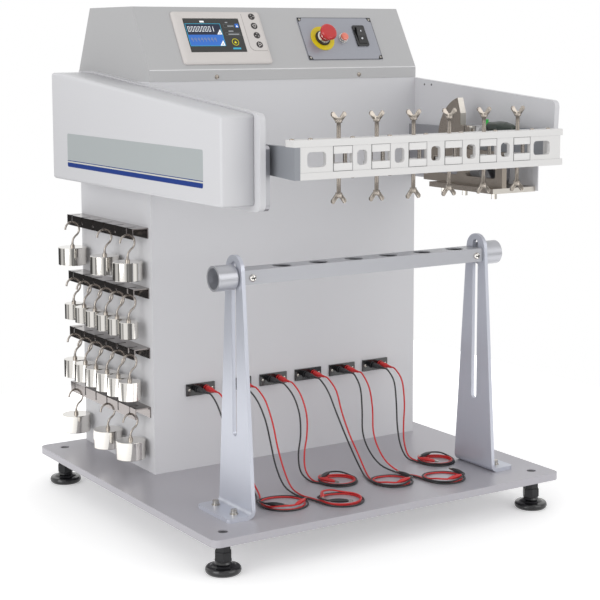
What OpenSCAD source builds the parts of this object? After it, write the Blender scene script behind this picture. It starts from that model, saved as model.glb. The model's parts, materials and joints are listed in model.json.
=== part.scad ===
// Cable flex tester: a free-standing cabinet whose six-station clamp frame swings sample
// cables over an adjustable guide tube, with hanging weights and twelve test leads.
// X runs to the right, Y to the back and Z up. The machine faces -Y.

/* [Base plate and feet] */
// Width of the base plate, left to right
plate_w = 850; // [780:1:950]
// Depth of the base plate, front to back
plate_d = 816; // [800:1:900]
// Thickness of the base plate
plate_t = 15; // [10:1:25]
// Corner radius of the base plate
plate_r = 18; // [4:1:40]
// Height of the underside of the base plate above the floor
foot_h = 65; // [60:1:110]
// Distance of a foot from the edges of the base plate
foot_inset = 44; // [38:1:80]
// Diameter of a foot pad
pad_d = 70; // [50:1:76]
// Diameter of the threaded foot stud
stud_d = 20; // [14:1:24]

/* [Cabinet] */
// Width of the cabinet
cabinet_w = 684; // [670:1:700]
// Depth of the cabinet
cabinet_d = 348; // [300:1:356]
// Height of the cabinet above the base plate
cabinet_h = 835; // [820:1:900]
// How far right of the middle of the base plate the cabinet stands
cabinet_x = 30; // [20:1:40]
// Distance from the middle of the base plate back to the front of the cabinet
cabinet_front = 50; // [46:1:60]
// Thickness of the sheet metal
sheet_t = 2; // [1:0.1:3]

/* [Console] */
// Height of the upright lip at the foot of the console
lip_h = 23; // [15:1:30]
// Height of the sloping face
slope_h = 133; // [120:1:160]
// Depth of the sloping face
slope_run = 77; // [60:1:90]
// Depth of the level top
console_top = 206; // [150:1:220]
// Width of the display bezel
hmi_w = 218; // [200:1:230]
// Height of the display bezel
hmi_h = 128; // [120:1:134]
// Width of the switch plate
switch_plate_w = 199; // [190:1:210]
// Height of the switch plate
switch_plate_h = 108; // [100:1:116]
// Diameter of the emergency stop button
estop_d = 40; // [34:1:44]
// Travel of the emergency stop button
estop_travel = 5; // [3:0.5:7]

/* [Wings and drive] */
// Thickness of the side wings
wing_t = 12; // [8:1:16]
// Depth of the belt cover on the left wing
cover_w = 70; // [56:1:80]
// Distance of the swing axis below the top of the cabinet
axis_drop = 127; // [123:1:131]
// Distance of the swing axis in front of the middle of the base plate
axis_front = 228; // [224:1:232]
// Diameter of the swing shafts
shaft_d = 20; // [16:1:24]
// Thickness of the plates that carry the shaft bearings
bearing_plate_t = 16; // [12:1:18]
// Radius of the belt's inner face on the swing pulley
swing_pulley_r = 38; // [34:1:42]
// Radius of the belt's inner face on the encoder pulley
encoder_pulley_r = 19; // [16:1:24]
// Radius of the counterweight
counterweight_r = 92; // [80:1:92.5]

/* [Clamp frame] */
// Clearance between the left arm and its bearing plate
left_clearance = 8; // [4:0.5:10]
// Clearance between the right arm and its bearing plate
right_clearance = 3; // [2:0.5:6]
// Depth of the clamp rails
rail_d = 31; // [28:1:34]
// Height of one clamp rail
rail_h = 13; // [11:1:14]
// Clear height between the two rails
rail_gap = 47; // [46:1:54]
// Distance from the swing axis to the front of the rails
swing_reach = 247; // [240:1:252]
// Distance of the outer clamp stations from the ends of the rails
station_margin = 106; // [100:0.5:112]
// Clear width of a clamp station
station_w = 43; // [41:1:46]
// Height of a clamp jaw
jaw_h = 14.5; // [12:0.5:15]
// Travel of a clamp jaw
jaw_travel = 8; // [5:0.5:8]
// Diameter of the wing screws
screw_d = 8; // [6:1:9]

/* [Cable guide] */
// Distance between the inner faces of the uprights
upright_span = 588; // [580:1:600]
// Thickness of the uprights
upright_t = 8; // [6:1:10]
// Width of an upright at its foot
upright_foot_w = 128; // [110:1:140]
// Radius of the round top of an upright
upright_top_r = 30; // [27:1:34]
// Height of the centre of the round top above the base plate
upright_h = 480; // [470:1:500]
// Height of the guide tube's axis above the base plate
guide_z = 467; // [440:1:472]
// Height of the guide tube's section
guide_h = 28; // [26:1:36]
// Depth of the guide tube's section
guide_d = 50; // [48:1:56]
// Bore of a guide bush
guide_bore = 18; // [12:1:22]
// Diameter of a clamp knob
knob_d = 50; // [44:1:56]

/* [Weights] */
// Distance between two hook slots on a rail
slot_pitch = 56; // [54:1:58]
// Distance between two hook rails
hook_rail_pitch = 128.5; // [126:0.5:132]
// Diameter of the large weights
large_weight_d = 64; // [50:1:68]
// Diameter of the medium weights
medium_weight_d = 49; // [40:1:54]
// Diameter of the small weights
small_weight_d = 41; // [30:1:50]

/* [Test leads] */
// Distance between two terminal plates
terminal_pitch = 92; // [90:1:94]
// Height of the terminals above the base plate
terminal_z = 174; // [172:1:178]
// Diameter of a test lead
lead_d = 3.2; // [2.6:0.1:3.4]

/* [Hidden] */

$fn = 48;
deck_z = foot_h + plate_t;
axis_z = cabinet_h - axis_drop;
running = 0.05;   // running clearance on the radius of a shaft
gap = 0.3;        // clearance between faces that move past each other
station_count = 6;

cabinet_left = cabinet_x - cabinet_w / 2;
cabinet_right = cabinet_x + cabinet_w / 2;
cabinet_back = cabinet_front + cabinet_d;
slope_angle = atan2(slope_h, slope_run);
console_front = cabinet_front - 1.5;

axis_y = -axis_front;
rail_left = cabinet_left + bearing_plate_t + left_clearance;
rail_right = cabinet_right - bearing_plate_t - right_clearance;
frame_x = (rail_left + rail_right) / 2;
rail_w = rail_right - rail_left;
station_pitch = (rail_w - 2 * station_margin) / (station_count - 1);
rail_front = axis_y - swing_reach;
rail_back = rail_front + rail_d;
rail_mid_y = rail_front + rail_d / 2;
gap_low = axis_z - 3.5 - rail_gap / 2;
gap_high = gap_low + rail_gap;
arm_t = 12;
pin_d = 8;
pin_spread = 14;
plate_front_t = 9;
plate_step = 1;

// The machine's origin is under the middle of its overall box
datum_y = -(rail_front + plate_d / 2) / 2;

// Distance of the ends of the uprights, knobs and tube from their middle
guide_x = 4;
guide_y = -268;
knob_len = 45;
stud_r = 8;
slot_half = stud_r + 0.6;

hook_rail_h = 23;
hook_rail_out = 37.5;
hook_rail_t = 2.5;
first_slot_y = 91;
top_rail_z = 530;
hook_wire_r = 2.2;
hook_loop_r = 17;
hook_drop = 72;

module on_floor() translate([0, datum_y, 0]) children();
module on_deck() translate([0, datum_y, deck_z]) children();

function unit(v) = v / norm(v);

// Replaces every corner of a closed outline by an arc of its own radius
function rounded(pts, radii, steps = 5) = [
  for (i = [0 : len(pts) - 1])
    let (
      p = pts[i],
      a = unit(pts[(i + len(pts) - 1) % len(pts)] - p),
      b = unit(pts[(i + 1) % len(pts)] - p),
      half = acos(a * b) / 2,
      r = radii[i % len(radii)],
      centre = p + unit(a + b) * r / sin(half),
      from = p + a * r / tan(half) - centre,
      to = p + b * r / tan(half) - centre,
      turn = acos(min(1, max(-1, unit(from) * unit(to)))),
      side = sign(from[0] * to[1] - from[1] * to[0])
    )
    for (k = [0 : steps])
      let (w = side * turn * k / steps)
        centre + [from[0] * cos(w) - from[1] * sin(w), from[0] * sin(w) + from[1] * cos(w)]
];

// Moves the outline of a convex, clockwise profile inwards by one wall thickness
function inset(pts, t) = [
  for (i = [0 : len(pts) - 1])
    let (
      p = pts[i],
      a = unit(p - pts[(i + len(pts) - 1) % len(pts)]),
      b = unit(pts[(i + 1) % len(pts)] - p),
      na = [a[1], -a[0]],
      nb = [b[1], -b[0]]
    )
    p + (na + nb) * t / (1 + na * nb)
];

function box_outline(w, h) = [[-w / 2, -h / 2], [w / 2, -h / 2], [w / 2, h / 2], [-w / 2, h / 2]];

// A side profile, drawn in Y and Z, with thickness along X
module side_plate(x, t) translate([x, 0, 0]) rotate([90, 0, 90]) linear_extrude(t) children();

// A cylinder along X
module x_rod(x, y, z, len, r) translate([x, y, z]) rotate([0, 90, 0]) cylinder(h = len, r = r);

// A cylinder along Y, running back from y
module y_rod(x, y, z, len, r) translate([x, y, z]) rotate([-90, 0, 0]) cylinder(h = len, r = r);

module rounded_box(w, d, h, r) linear_extrude(h) polygon(rounded(box_outline(w, d), [r]));

module at_feet()
  for (x = [-1, 1], y = [-1, 1])
    translate([x * (plate_w / 2 - foot_inset), y * (plate_d / 2 - foot_inset), 0]) children();

// Base plate and feet

module base_plate() color([0.67, 0.67, 0.68]) on_floor() translate([0, 0, foot_h])
  difference() {
    rounded_box(plate_w, plate_d, plate_t, plate_r);
    at_feet() translate([0, 0, -1]) cylinder(h = plate_t + 2, r = stud_d / 2 + running);
    at_upright_bolts() translate([0, 0, -1]) cylinder(h = plate_t + 2, r = bolt_d / 2 + running);
  }

pad_h = 24;
module foot_pads() color([0.07, 0.07, 0.08]) on_floor() at_feet()
  rotate_extrude($fn = 64)
    polygon(concat(
      [[0, 0], [pad_d / 2 - 4, 0]],
      [for (a = [-60 : 20 : 60]) [pad_d / 2 - 6 + 6 * cos(a), 7 + 7 * sin(a)]],
      [[pad_d / 2 - 10, 14.5], [pad_d / 2 - 13, 17], [stud_d / 2 + 7, 19], [stud_d / 2 + 4, pad_h],
       [stud_d / 2 - 2, pad_h], [stud_d / 2 - 2, pad_h - 6], [0, pad_h - 6]]));

nut_across = 31;
module foot_studs() color([0.1, 0.1, 0.11]) on_floor() at_feet() {
  translate([0, 0, pad_h - 6]) cylinder(h = 8, r = stud_d / 2 - 3);
  translate([0, 0, pad_h]) cylinder(h = deck_z - pad_h - 2, r = stud_d / 2);
  translate([0, 0, pad_h]) cylinder(h = 2, r = nut_across / 2 + 1);
  translate([0, 0, pad_h + 2]) cylinder(h = 16, r = nut_across / sqrt(3), $fn = 6);
  translate([0, 0, pad_h + 18]) cylinder(h = foot_h - pad_h - 23, r = nut_across / sqrt(3) - 2, $fn = 6);
  translate([0, 0, foot_h - 5]) cylinder(h = 5, r = nut_across / 2 - 2);
}

// Cabinet

module cabinet_shell() color([0.8, 0.8, 0.82]) on_deck()
  difference() {
    translate([cabinet_left, cabinet_front, 0]) cube([cabinet_w, cabinet_d, cabinet_h]);
    translate([cabinet_left + sheet_t, cabinet_front + sheet_t, sheet_t])
      cube([cabinet_w - 2 * sheet_t, cabinet_d - 2 * sheet_t, cabinet_h - 2 * sheet_t]);
    translate([cabinet_left + back_flange, cabinet_back - sheet_t - 1, back_flange])
      cube([cabinet_w - 2 * back_flange, sheet_t + 2, cabinet_h - 2 * back_flange]);
    translate([cabinet_x - 100, cabinet_front + 100, cabinet_h - sheet_t - 1]) cube([200, 100, sheet_t + 2]);
    x_rod(cabinet_left - 1, encoder_y, encoder_z, sheet_t + 2, encoder_hole_r);
    for (k = [0 : station_count - 1], s = [-1, 1])
      y_rod(socket_x(k, s), cabinet_front - 1, terminal_z, sheet_t + 2, socket_r - 2);
  }

back_flange = 16;
rear_panel_margin = 8;
module rear_panel() color([0.78, 0.78, 0.8]) on_deck()
  difference() {
    translate([cabinet_left + rear_panel_margin, cabinet_back, rear_panel_margin])
      cube([cabinet_w - 2 * rear_panel_margin, sheet_t, cabinet_h - 2 * rear_panel_margin]);
    for (x = [-1, 1], k = [0 : 9])
      translate([cabinet_x + x * 150 - 60, cabinet_back - 1, 560 + k * 14]) cube([120, sheet_t + 2, 5]);
  }

// Mounting plate with the power supply, motor driver, controller and terminal strip on it
chassis_t = 3;
module electronics_plate() color([0.75, 0.76, 0.74]) on_deck()
  translate([cabinet_x, cabinet_back - 60, sheet_t]) {
    translate([-220, 0, 0]) cube([440, chassis_t, 620]);
    translate([-220, -30, 0]) cube([440, 30, chassis_t]);
    translate([-180, -90, 380]) cube([120, 90, 190]);
    translate([-30, -75, 420]) cube([200, 75, 100]);
    translate([-180, -60, 160]) cube([110, 60, 160]);
    translate([-40, -70, 230]) cube([90, 70, 90]);
    translate([80, -70, 230]) cube([90, 70, 90]);
    translate([-60, -40, 90]) cube([240, 40, 45]);
  }

// Console

console_profile = [
  [console_front, 0],
  [console_front, lip_h],
  [console_front + slope_run, lip_h + slope_h],
  [console_front + slope_run + console_top, lip_h + slope_h],
  [cabinet_back, 12],
  [cabinet_back, 0]];

// Places children on the sloping face: x along the machine, s up the slope from the lip
module on_slope(x, s)
  on_deck() translate([x, console_front, cabinet_h + lip_h]) rotate([slope_angle, 0, 0])
    translate([0, s, 0]) children();

hmi_x = cabinet_x - 148.5;
hmi_s = 76;
switch_x = cabinet_x + 157;
switch_s = 74;
estop_x = switch_x - 48;
lamp_x = switch_x + 7;
rocker_x = switch_x + 57;
estop_hole_r = 11;
lamp_hole_r = 8;
rocker_w = 31;
rocker_h = 53;

module console_shell() color([0.72, 0.72, 0.73])
  difference() {
    on_deck() translate([0, 0, cabinet_h]) difference() {
      side_plate(cabinet_left, cabinet_w) polygon(console_profile);
      side_plate(cabinet_left + sheet_t, cabinet_w - 2 * sheet_t)
        polygon(inset(console_profile, sheet_t));
      translate([cabinet_left + 20, cabinet_front + 20, -1]) cube([cabinet_w - 40, cabinet_d - 40, 4]);
    }
    on_slope(hmi_x, hmi_s) translate([0, 0, -5]) rounded_box(hmi_w - 16, hmi_h - 16, 10, 4);
    on_slope(estop_x, switch_s) translate([0, 0, -5]) cylinder(h = 10, r = estop_hole_r + 3);
    on_slope(lamp_x, switch_s) translate([0, 0, -5]) cylinder(h = 10, r = lamp_hole_r + 3);
    on_slope(rocker_x, switch_s + 6) translate([0, 0, -5]) rounded_box(rocker_w, rocker_h, 10, 2);
  }

screen_w = 136;
screen_h = 82;
screen_dx = -17;
screen_ds = 5;
bezel_t = 7;
key_dx = 88;
module hmi_bezel() color([0.84, 0.82, 0.81]) on_slope(hmi_x, hmi_s) difference() {
  union() {
    rounded_box(hmi_w, hmi_h, bezel_t - 2, 7);
    rounded_box(hmi_w - 8, hmi_h - 8, bezel_t, 5);
    translate([0, 0, -38]) rounded_box(hmi_w - 20, hmi_h - 20, 38, 3);
  }
  translate([screen_dx, screen_ds, bezel_t - 3]) rounded_box(screen_w, screen_h, 5, 1);
  for (k = [0 : 3])
    translate([key_dx, screen_ds + 36 - 24 * k, bezel_t - 0.8]) cylinder(h = 2, r = 8.5);
}

module hmi_screen() color([0.1, 0.12, 0.16]) on_slope(hmi_x + screen_dx, hmi_s + screen_ds)
  translate([0, 0, bezel_t - 3]) rounded_box(screen_w - 2 * gap, screen_h - 2 * gap, 2, 0.8);

switch_plate_t = 2;
module switch_plate() color([0.66, 0.67, 0.7]) on_slope(switch_x, switch_s) difference() {
  rounded_box(switch_plate_w, switch_plate_h, switch_plate_t, 3);
  for (x = [-1, 1], y = [-1, 1])
    translate([x * (switch_plate_w / 2 - 7), y * (switch_plate_h / 2 - 7), -1]) cylinder(h = 5, r = 2);
  translate([estop_x - switch_x, 0, -1]) cylinder(h = 5, r = estop_hole_r + running);
  translate([lamp_x - switch_x, 0, -1]) cylinder(h = 5, r = lamp_hole_r + running);
  translate([rocker_x - switch_x, 6, -1]) rounded_box(rocker_w - 4, rocker_h - 4, 5, 2);
}

// The fixed half of the emergency stop: legend disc, chrome collar and barrel
collar_h = 11;
plunger_r = 9;
module estop_base() color([0.85, 0.76, 0.1]) on_slope(estop_x, switch_s) difference() {
  union() {
    translate([0, 0, switch_plate_t]) cylinder(h = 2, r = 30);
    translate([0, 0, switch_plate_t]) cylinder(h = collar_h, r = 15);
    translate([0, 0, -45]) cylinder(h = 48, r = estop_hole_r);
  }
  translate([0, 0, -20]) cylinder(h = 60, r = plunger_r + running);
}

module estop_button() color([0.75, 0.12, 0.12]) on_slope(estop_x, switch_s)
  translate([0, 0, switch_plate_t + collar_h + estop_travel + 1]) {
    translate([0, 0, -26]) cylinder(h = 26, r = plunger_r);
    rotate_extrude() polygon(concat([[0, 0], [estop_d / 2 - 6, 0], [estop_d / 2 - 5, 1]],
      [for (a = [-20 : 22 : 90]) [estop_d / 2 - 6 + 6 * cos(a), 12 + 6 * sin(a)]],
      [[0, 18]]));
  }

module pilot_lamp() color([0.93, 0.52, 0.45]) on_slope(lamp_x, switch_s) {
  translate([0, 0, switch_plate_t]) cylinder(h = 6, r = 11.5);
  translate([0, 0, -30]) cylinder(h = 36, r = lamp_hole_r);
  translate([0, 0, switch_plate_t + 6]) cylinder(h = 8, r = 9);
}

rocker_tilt = 9;
rocker_pivot_r = 2;
module rocker_frame() color([0.06, 0.06, 0.07]) on_slope(rocker_x, switch_s + 6) difference() {
  union() {
    translate([0, 0, switch_plate_t]) rounded_box(rocker_w, rocker_h, 3, 3);
    translate([0, 0, -28]) rounded_box(rocker_w - 5, rocker_h - 5, 32, 1);
  }
  translate([0, 0, -16]) rounded_box(rocker_w - 9, rocker_h - 11, 30, 1);
  x_rod(-rocker_w / 2, 0, 0, rocker_w, rocker_pivot_r + running);
}

// A rocker with two flat pads on a pivot pin; at rest its lower pad is pressed
module rocker() color([0.1, 0.1, 0.11]) on_slope(rocker_x, switch_s + 6) {
  x_rod(-rocker_w / 2 + 3, 0, 0, rocker_w - 6, rocker_pivot_r);
  translate([-(rocker_w - 10) / 2, 0, 0]) rotate([90, 0, 90]) linear_extrude(rocker_w - 10)
    rotate(rocker_tilt) polygon([[-19, 8.5], [0, 7.5], [19, 8.5], [15, -3], [0, -6], [-15, -3]]);
}

// Wings, cover and bearing plates

wing_back_y = cabinet_back - 26;
wing_knee_y = cabinet_back - 92;
wing_low_z = axis_z - 102;
wing_high_z = cabinet_h + 18;
left_wing_front = -414;
right_wing_front = -430;
left_wing_profile = [[left_wing_front, wing_low_z], [left_wing_front, axis_z + 79], [wing_knee_y, wing_high_z],
  [wing_back_y, wing_high_z], [wing_back_y, wing_low_z]];

module left_wing() color([0.82, 0.82, 0.82]) on_deck() difference() {
  side_plate(cabinet_left - wing_t, wing_t) polygon(rounded(left_wing_profile, [17, 14, 60, 4, 4], 6));
  x_rod(cabinet_left - wing_t - 1, axis_y, axis_z, wing_t + 2, shaft_d / 2 + 4);
  x_rod(cabinet_left - wing_t - 1, encoder_y, encoder_z, wing_t + 2, encoder_hole_r);
}

cover_front = -393;
cover_back = cabinet_back - 33;
cover_low_z = wing_low_z + 11;
cover_drop = 3;
cover_edge_r = 9;
cover_profile = [[cover_front, cover_low_z], [cover_front, axis_z + 77.5], [wing_knee_y, wing_high_z - cover_drop],
  [cover_back, wing_high_z - cover_drop], [cover_back, cover_low_z]];

// The pressed belt cover: round outer edges, open towards the wing
module belt_cover() color([0.84, 0.84, 0.84]) on_deck() difference() {
  hull() {
    for (p = inset(cover_profile, cover_edge_r))
      translate([cabinet_left - wing_t - cover_w + cover_edge_r, p[0], p[1]]) sphere(r = cover_edge_r, $fn = 32);
    side_plate(cabinet_left - wing_t - 1, 1) polygon(rounded(cover_profile, [cover_edge_r]));
  }
  side_plate(cabinet_left - wing_t - cover_w + 3, cover_w) polygon(rounded(inset(cover_profile, 3), [6]));
}

// A box-folded wing whose lower front corner is a single sheet beside the shelf
sheet_front = -379.5;
module right_wing() color([0.79, 0.79, 0.8]) on_deck() {
  side_plate(cabinet_right, wing_t) polygon(rounded(
    [[right_wing_front + 8, axis_z - 36], [right_wing_front, axis_z + 87], [wing_knee_y, wing_high_z],
     [wing_back_y, wing_high_z], [wing_back_y, wing_low_z], [right_bearing_front, wing_low_z],
     [right_bearing_front, axis_z - 44]], [6, 12, 60, 4, 4, 8, 6], 6));
  side_plate(cabinet_right, sheet_t) polygon([[sheet_front, wing_low_z], [sheet_front, axis_z - 38],
    [right_bearing_front + 20, axis_z - 38], [right_bearing_front + 20, wing_low_z]]);
}

left_bearing_front = -402;
right_bearing_front = -290;
bearing_top = axis_z + 20;
bearing_r = 20;

// One bearing plate from its front edge back to the cabinet, with a round boss about the axis
module bearing_plate(x, front, low) difference() {
  side_plate(x, bearing_plate_t) union() {
    polygon(rounded([[front, low], [front, bearing_top], [cabinet_front, bearing_top], [cabinet_front, low]],
      [12, 8, 0.01, 0.01]));
    translate([axis_y, axis_z]) circle(r = bearing_r + 10);
  }
  x_rod(x - 1, axis_y, axis_z, bearing_plate_t + 2, bearing_r + running);
}

module bearing_plates() color([0.6, 0.6, 0.62]) on_deck() {
  bearing_plate(cabinet_left, left_bearing_front, wing_low_z);
  bearing_plate(cabinet_right - bearing_plate_t, right_bearing_front, shelf_top);
}

module shaft_bearings() color([0.7, 0.71, 0.73]) on_deck()
  for (x = [cabinet_left, cabinet_right - bearing_plate_t])
    difference() {
      x_rod(x, axis_y, axis_z, bearing_plate_t, bearing_r);
      x_rod(x - 1, axis_y, axis_z, bearing_plate_t + 2, shaft_d / 2 + running);
    }

// Right-hand drive: shelf, bracket, worm gearbox and motor

shelf_t = 10.5;
shelf_top = axis_z - 93;
shelf_left = cabinet_right - 114;
shelf_front = -372;
shelf_back = -157;
module bracket_shelf() color([0.62, 0.59, 0.56]) on_deck() difference() {
  translate([shelf_left, shelf_front, shelf_top - shelf_t])
    cube([cabinet_right - shelf_left, shelf_back - shelf_front, shelf_t]);
  for (y = bracket_bolt_y)
    translate([bracket_bolt_x, y, shelf_top - shelf_t - 1])
      cylinder(h = shelf_t + 2, r = bracket_bolt_r + running);
}

bracket_x = shelf_left + 24;
bracket_t = 12;
bracket_rear = -105;
bracket_h = 75;
bracket_windows = [[-350, -251], [-224, -140]];
module motor_bracket() color([0.55, 0.52, 0.49]) on_deck() difference() {
  side_plate(bracket_x, bracket_t) translate([0, shelf_top]) difference() {
    polygon(rounded([[shelf_front, 0], [shelf_front, bracket_h], [bracket_rear, bracket_h], [bracket_rear, 0]],
      [0.01, 6, 20, 0.01]));
    for (y = bracket_windows)
      polygon(rounded([[y[0], 18], [y[0], 56], [y[1], 56], [y[1], 18]], [8]));
  }
  for (y = bracket_bolt_y)
    translate([bracket_bolt_x, y, shelf_top - 1]) cylinder(h = bracket_bolt_depth + 1.5, r = bracket_bolt_r + running);
}

counterweight_x = bracket_x + bracket_t + 3;
counterweight_t = 15;
gearbox_x = counterweight_x + counterweight_t + 2;
gearbox_t = rail_right - arm_t - 2 - gearbox_x;
gearbox_front = -262;
gearbox_back = -192;
motor_x = gearbox_x + gearbox_t / 2;
motor_z = axis_z + 29;
module gearbox() color([0.68, 0.68, 0.69]) on_deck() difference() {
  union() {
    side_plate(gearbox_x, gearbox_t) polygon(rounded([[gearbox_front, axis_z - 62], [gearbox_front, axis_z + 30],
      [gearbox_back, axis_z + 30], [gearbox_back, axis_z - 62]], [3]));
    side_plate(gearbox_x, gearbox_t) polygon([[gearbox_front - 8, shelf_top], [gearbox_front - 8, shelf_top + 8],
      [gearbox_front + 12, axis_z - 58], [gearbox_back - 12, axis_z - 58], [gearbox_back + 8, shelf_top + 8],
      [gearbox_back + 8, shelf_top]]);
    x_rod(gearbox_x - 1.5, axis_y, axis_z, 2, 25);
    translate([motor_x, gearbox_front - 6, motor_z - 8]) cube([gearbox_t, 14, 20], center = true);
    translate([motor_x, gearbox_front - 4, motor_z + 1]) cylinder(h = 14, r = 4);
  }
  x_rod(gearbox_x - 8, axis_y, axis_z, gearbox_t + 12, shaft_d / 2 + running);
}

motor_len = 84;
motor_r = 13;
module drive_motor() color([0.16, 0.22, 0.19]) on_deck()
  translate([motor_x, gearbox_front - 13, motor_z]) rotate([90, 0, 0])
    rotate_extrude() polygon([[0, 0], [motor_r - 4, 0], [motor_r - 3, 1], [motor_r, 37], [motor_r, 44],
      [motor_r - 1, 57], [motor_r - 2, 61], [7, motor_len - 5], [5, motor_len - 1.5], [3, motor_len],
      [0, motor_len]]);

bolt_d = 8;
bracket_bolt_x = bracket_x + bracket_t / 2;
bracket_bolt_y = [-340, -243, -170];
bracket_bolt_r = 3;
bracket_bolt_depth = 12;
upright_bolt_x = 24;
module at_upright_bolts()
  for (s = [-1, 1], y = [-36, 36])
    translate([guide_x + s * (upright_span / 2 + upright_t + upright_bolt_x), guide_y + y, 0]) children();

// Hexagon bolts under the shelf, and washered bolts on the feet of the uprights
module frame_bolts() color([0.78, 0.78, 0.76]) on_deck() {
  for (y = bracket_bolt_y)
    translate([bracket_bolt_x, y, shelf_top - shelf_t]) {
      translate([0, 0, -1.6]) cylinder(h = 1.6, r = 7.5);
      translate([0, 0, -14]) cylinder(h = 13, r = 6.2, $fn = 6);
      translate([0, 0, -2]) cylinder(h = shelf_t + bracket_bolt_depth + 2, r = bracket_bolt_r);
    }
  at_upright_bolts() {
    translate([0, 0, -plate_t + 2]) cylinder(h = plate_t + upright_t, r = bolt_d / 2);
    translate([0, 0, upright_t]) cylinder(h = 1.6, r = 8.5);
    translate([0, 0, upright_t + 1.6]) cylinder(h = 8, r = 6.5);
  }
}

// Left-hand belt pair to the angle encoder

pulley_x = cabinet_left - wing_t - 26;
pulley_w = 20;
belt_w = 15;
belt_t = 3;
encoder_y = 250;
encoder_z = axis_z + 27;
encoder_shaft_r = 5;
encoder_hole_r = 9;
flange_t = 2;

module pulley(r) {
  x_rod(pulley_x, 0, 0, pulley_w, r - gap);
  for (x = [0, pulley_w - flange_t]) x_rod(pulley_x + x, 0, 0, flange_t, r + belt_t + 2);
}

module swing_pulley() color([0.6, 0.6, 0.62]) on_deck() translate([0, axis_y, axis_z]) difference() {
  pulley(swing_pulley_r);
  x_rod(pulley_x - 1, 0, 0, pulley_w + 2, shaft_d / 2 + running);
}

module encoder_pulley() color([0.6, 0.6, 0.62]) on_deck() translate([0, encoder_y, encoder_z]) {
  pulley(encoder_pulley_r);
  x_rod(pulley_x, 0, 0, cabinet_left + 24 - pulley_x, encoder_shaft_r);
}

module angle_encoder() color([0.2, 0.2, 0.22]) on_deck() translate([0, encoder_y, encoder_z]) difference() {
  union() {
    x_rod(cabinet_left + sheet_t, 0, 0, 42, 29);
    translate([cabinet_left + sheet_t + 20, -10, 20]) cube([16, 20, 22]);
  }
  x_rod(cabinet_left, 0, 0, 28, encoder_shaft_r + running);
}

// The outline round both pulleys, from circles and the outer tangents
module belt_outline(grow) {
  a = [axis_y, axis_z];
  b = [encoder_y, encoder_z];
  ra = swing_pulley_r + grow;
  rb = encoder_pulley_r + grow;
  lean = atan2(b[1] - a[1], b[0] - a[0]);
  open = acos((ra - rb) / norm(b - a));
  translate(a) circle(r = ra, $fn = 96);
  translate(b) circle(r = rb, $fn = 64);
  polygon([
    a + ra * [cos(lean + open), sin(lean + open)], b + rb * [cos(lean + open), sin(lean + open)],
    b + rb * [cos(lean - open), sin(lean - open)], a + ra * [cos(lean - open), sin(lean - open)]]);
}

module timing_belt() color([0.09, 0.09, 0.1]) on_deck()
  side_plate(pulley_x + (pulley_w - belt_w) / 2, belt_w) difference() {
    belt_outline(belt_t);
    belt_outline(0);
  }

// Swinging frame

right_arm_x = rail_right - arm_t;
left_arm_x = rail_left;
module swing_shafts() color([0.74, 0.74, 0.76]) on_deck() {
  x_rod(pulley_x - 3, axis_y, axis_z, left_arm_x + arm_t + 16 - pulley_x + 3, shaft_d / 2);
  x_rod(counterweight_x - 1, axis_y, axis_z, cabinet_right - 3 - counterweight_x + 1, shaft_d / 2);
}

arm_hub_r = 30;
module arm_outline(front, low, high)
  difference() {
    union() {
      translate([axis_y, axis_z]) circle(r = arm_hub_r);
      polygon([[front, low], [front, high], [axis_y, min(high, axis_z + 24)], [axis_y, axis_z - 28]]);
    }
    translate([axis_y, axis_z]) circle(r = shaft_d / 2 + running);
  }

module swing_arms() color([0.58, 0.58, 0.6]) on_deck() {
  side_plate(left_arm_x, arm_t) arm_outline(rail_front, gap_low - rail_h, gap_high);
  difference() {
    x_rod(left_arm_x + arm_t, axis_y, axis_z, 12, 18);
    x_rod(left_arm_x + arm_t - 1, axis_y, axis_z, 14, shaft_d / 2 + running);
  }
  side_plate(right_arm_x, arm_t) arm_outline(rail_back, gap_low - rail_h, gap_high + rail_h);
}

// A sector behind the axis with a leaning front edge, on a split clamping hub
hub_half = 17;
sector_front = 14;
sector_low = -34;
module counterweight() color([0.56, 0.53, 0.5]) on_deck() difference() {
  side_plate(counterweight_x, counterweight_t) translate([axis_y, axis_z]) {
    intersection() {
      circle(r = counterweight_r, $fn = 96);
      polygon([[sector_front, sector_low], [sector_front, 56], [sector_front + 16, 104], [104, 104],
        [104, -10], [60, sector_low]]);
    }
    polygon(rounded([[-hub_half, -26], [-hub_half, 30], [hub_half, 30], [hub_half, -26]], [3]));
  }
  x_rod(counterweight_x - 1, axis_y, axis_z, counterweight_t + 2, shaft_d / 2 + running);
  translate([counterweight_x - 1, axis_y - 1.2, axis_z + 6]) cube([counterweight_t + 2, 2.4, 30]);
  y_rod(counterweight_x + counterweight_t / 2, axis_y - 30, axis_z + 20, 26, 3);
}

function station_x(k) = frame_x + (k - (station_count - 1) / 2) * station_pitch;

module clamp_rails() color([0.9, 0.9, 0.9]) on_deck() difference() {
  union() {
    translate([rail_left, rail_front, gap_high]) cube([rail_w, rail_d, rail_h]);
    translate([left_arm_x + arm_t, rail_front, gap_low - rail_h]) cube([rail_w - arm_t, rail_d, rail_h]);
  }
  for (k = [0 : station_count - 1]) {
    translate([station_x(k), rail_mid_y, gap_low - rail_h - 1])
      cylinder(h = rail_gap + 2 * rail_h + 2, r = screw_d / 2 + running);
    for (s = [-1, 1])
      translate([station_x(k) + s * pin_spread, rail_mid_y, gap_low - 8])
        cylinder(h = rail_gap + 16, r = pin_d / 2 + running);
  }
}

// One front plate with a rounded window, between two stations or at an end
module window_plate(x0, x1, window_w)
  translate([0, rail_front + plate_step + plate_front_t, 0]) rotate([90, 0, 0])
    linear_extrude(plate_front_t) difference() {
      translate([x0, gap_low]) square([x1 - x0, rail_gap]);
      translate([(x0 + x1) / 2, (gap_low + gap_high) / 2])
        polygon(rounded(box_outline(window_w, rail_gap - 19), [min(7, window_w / 3)]));
    }

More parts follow.
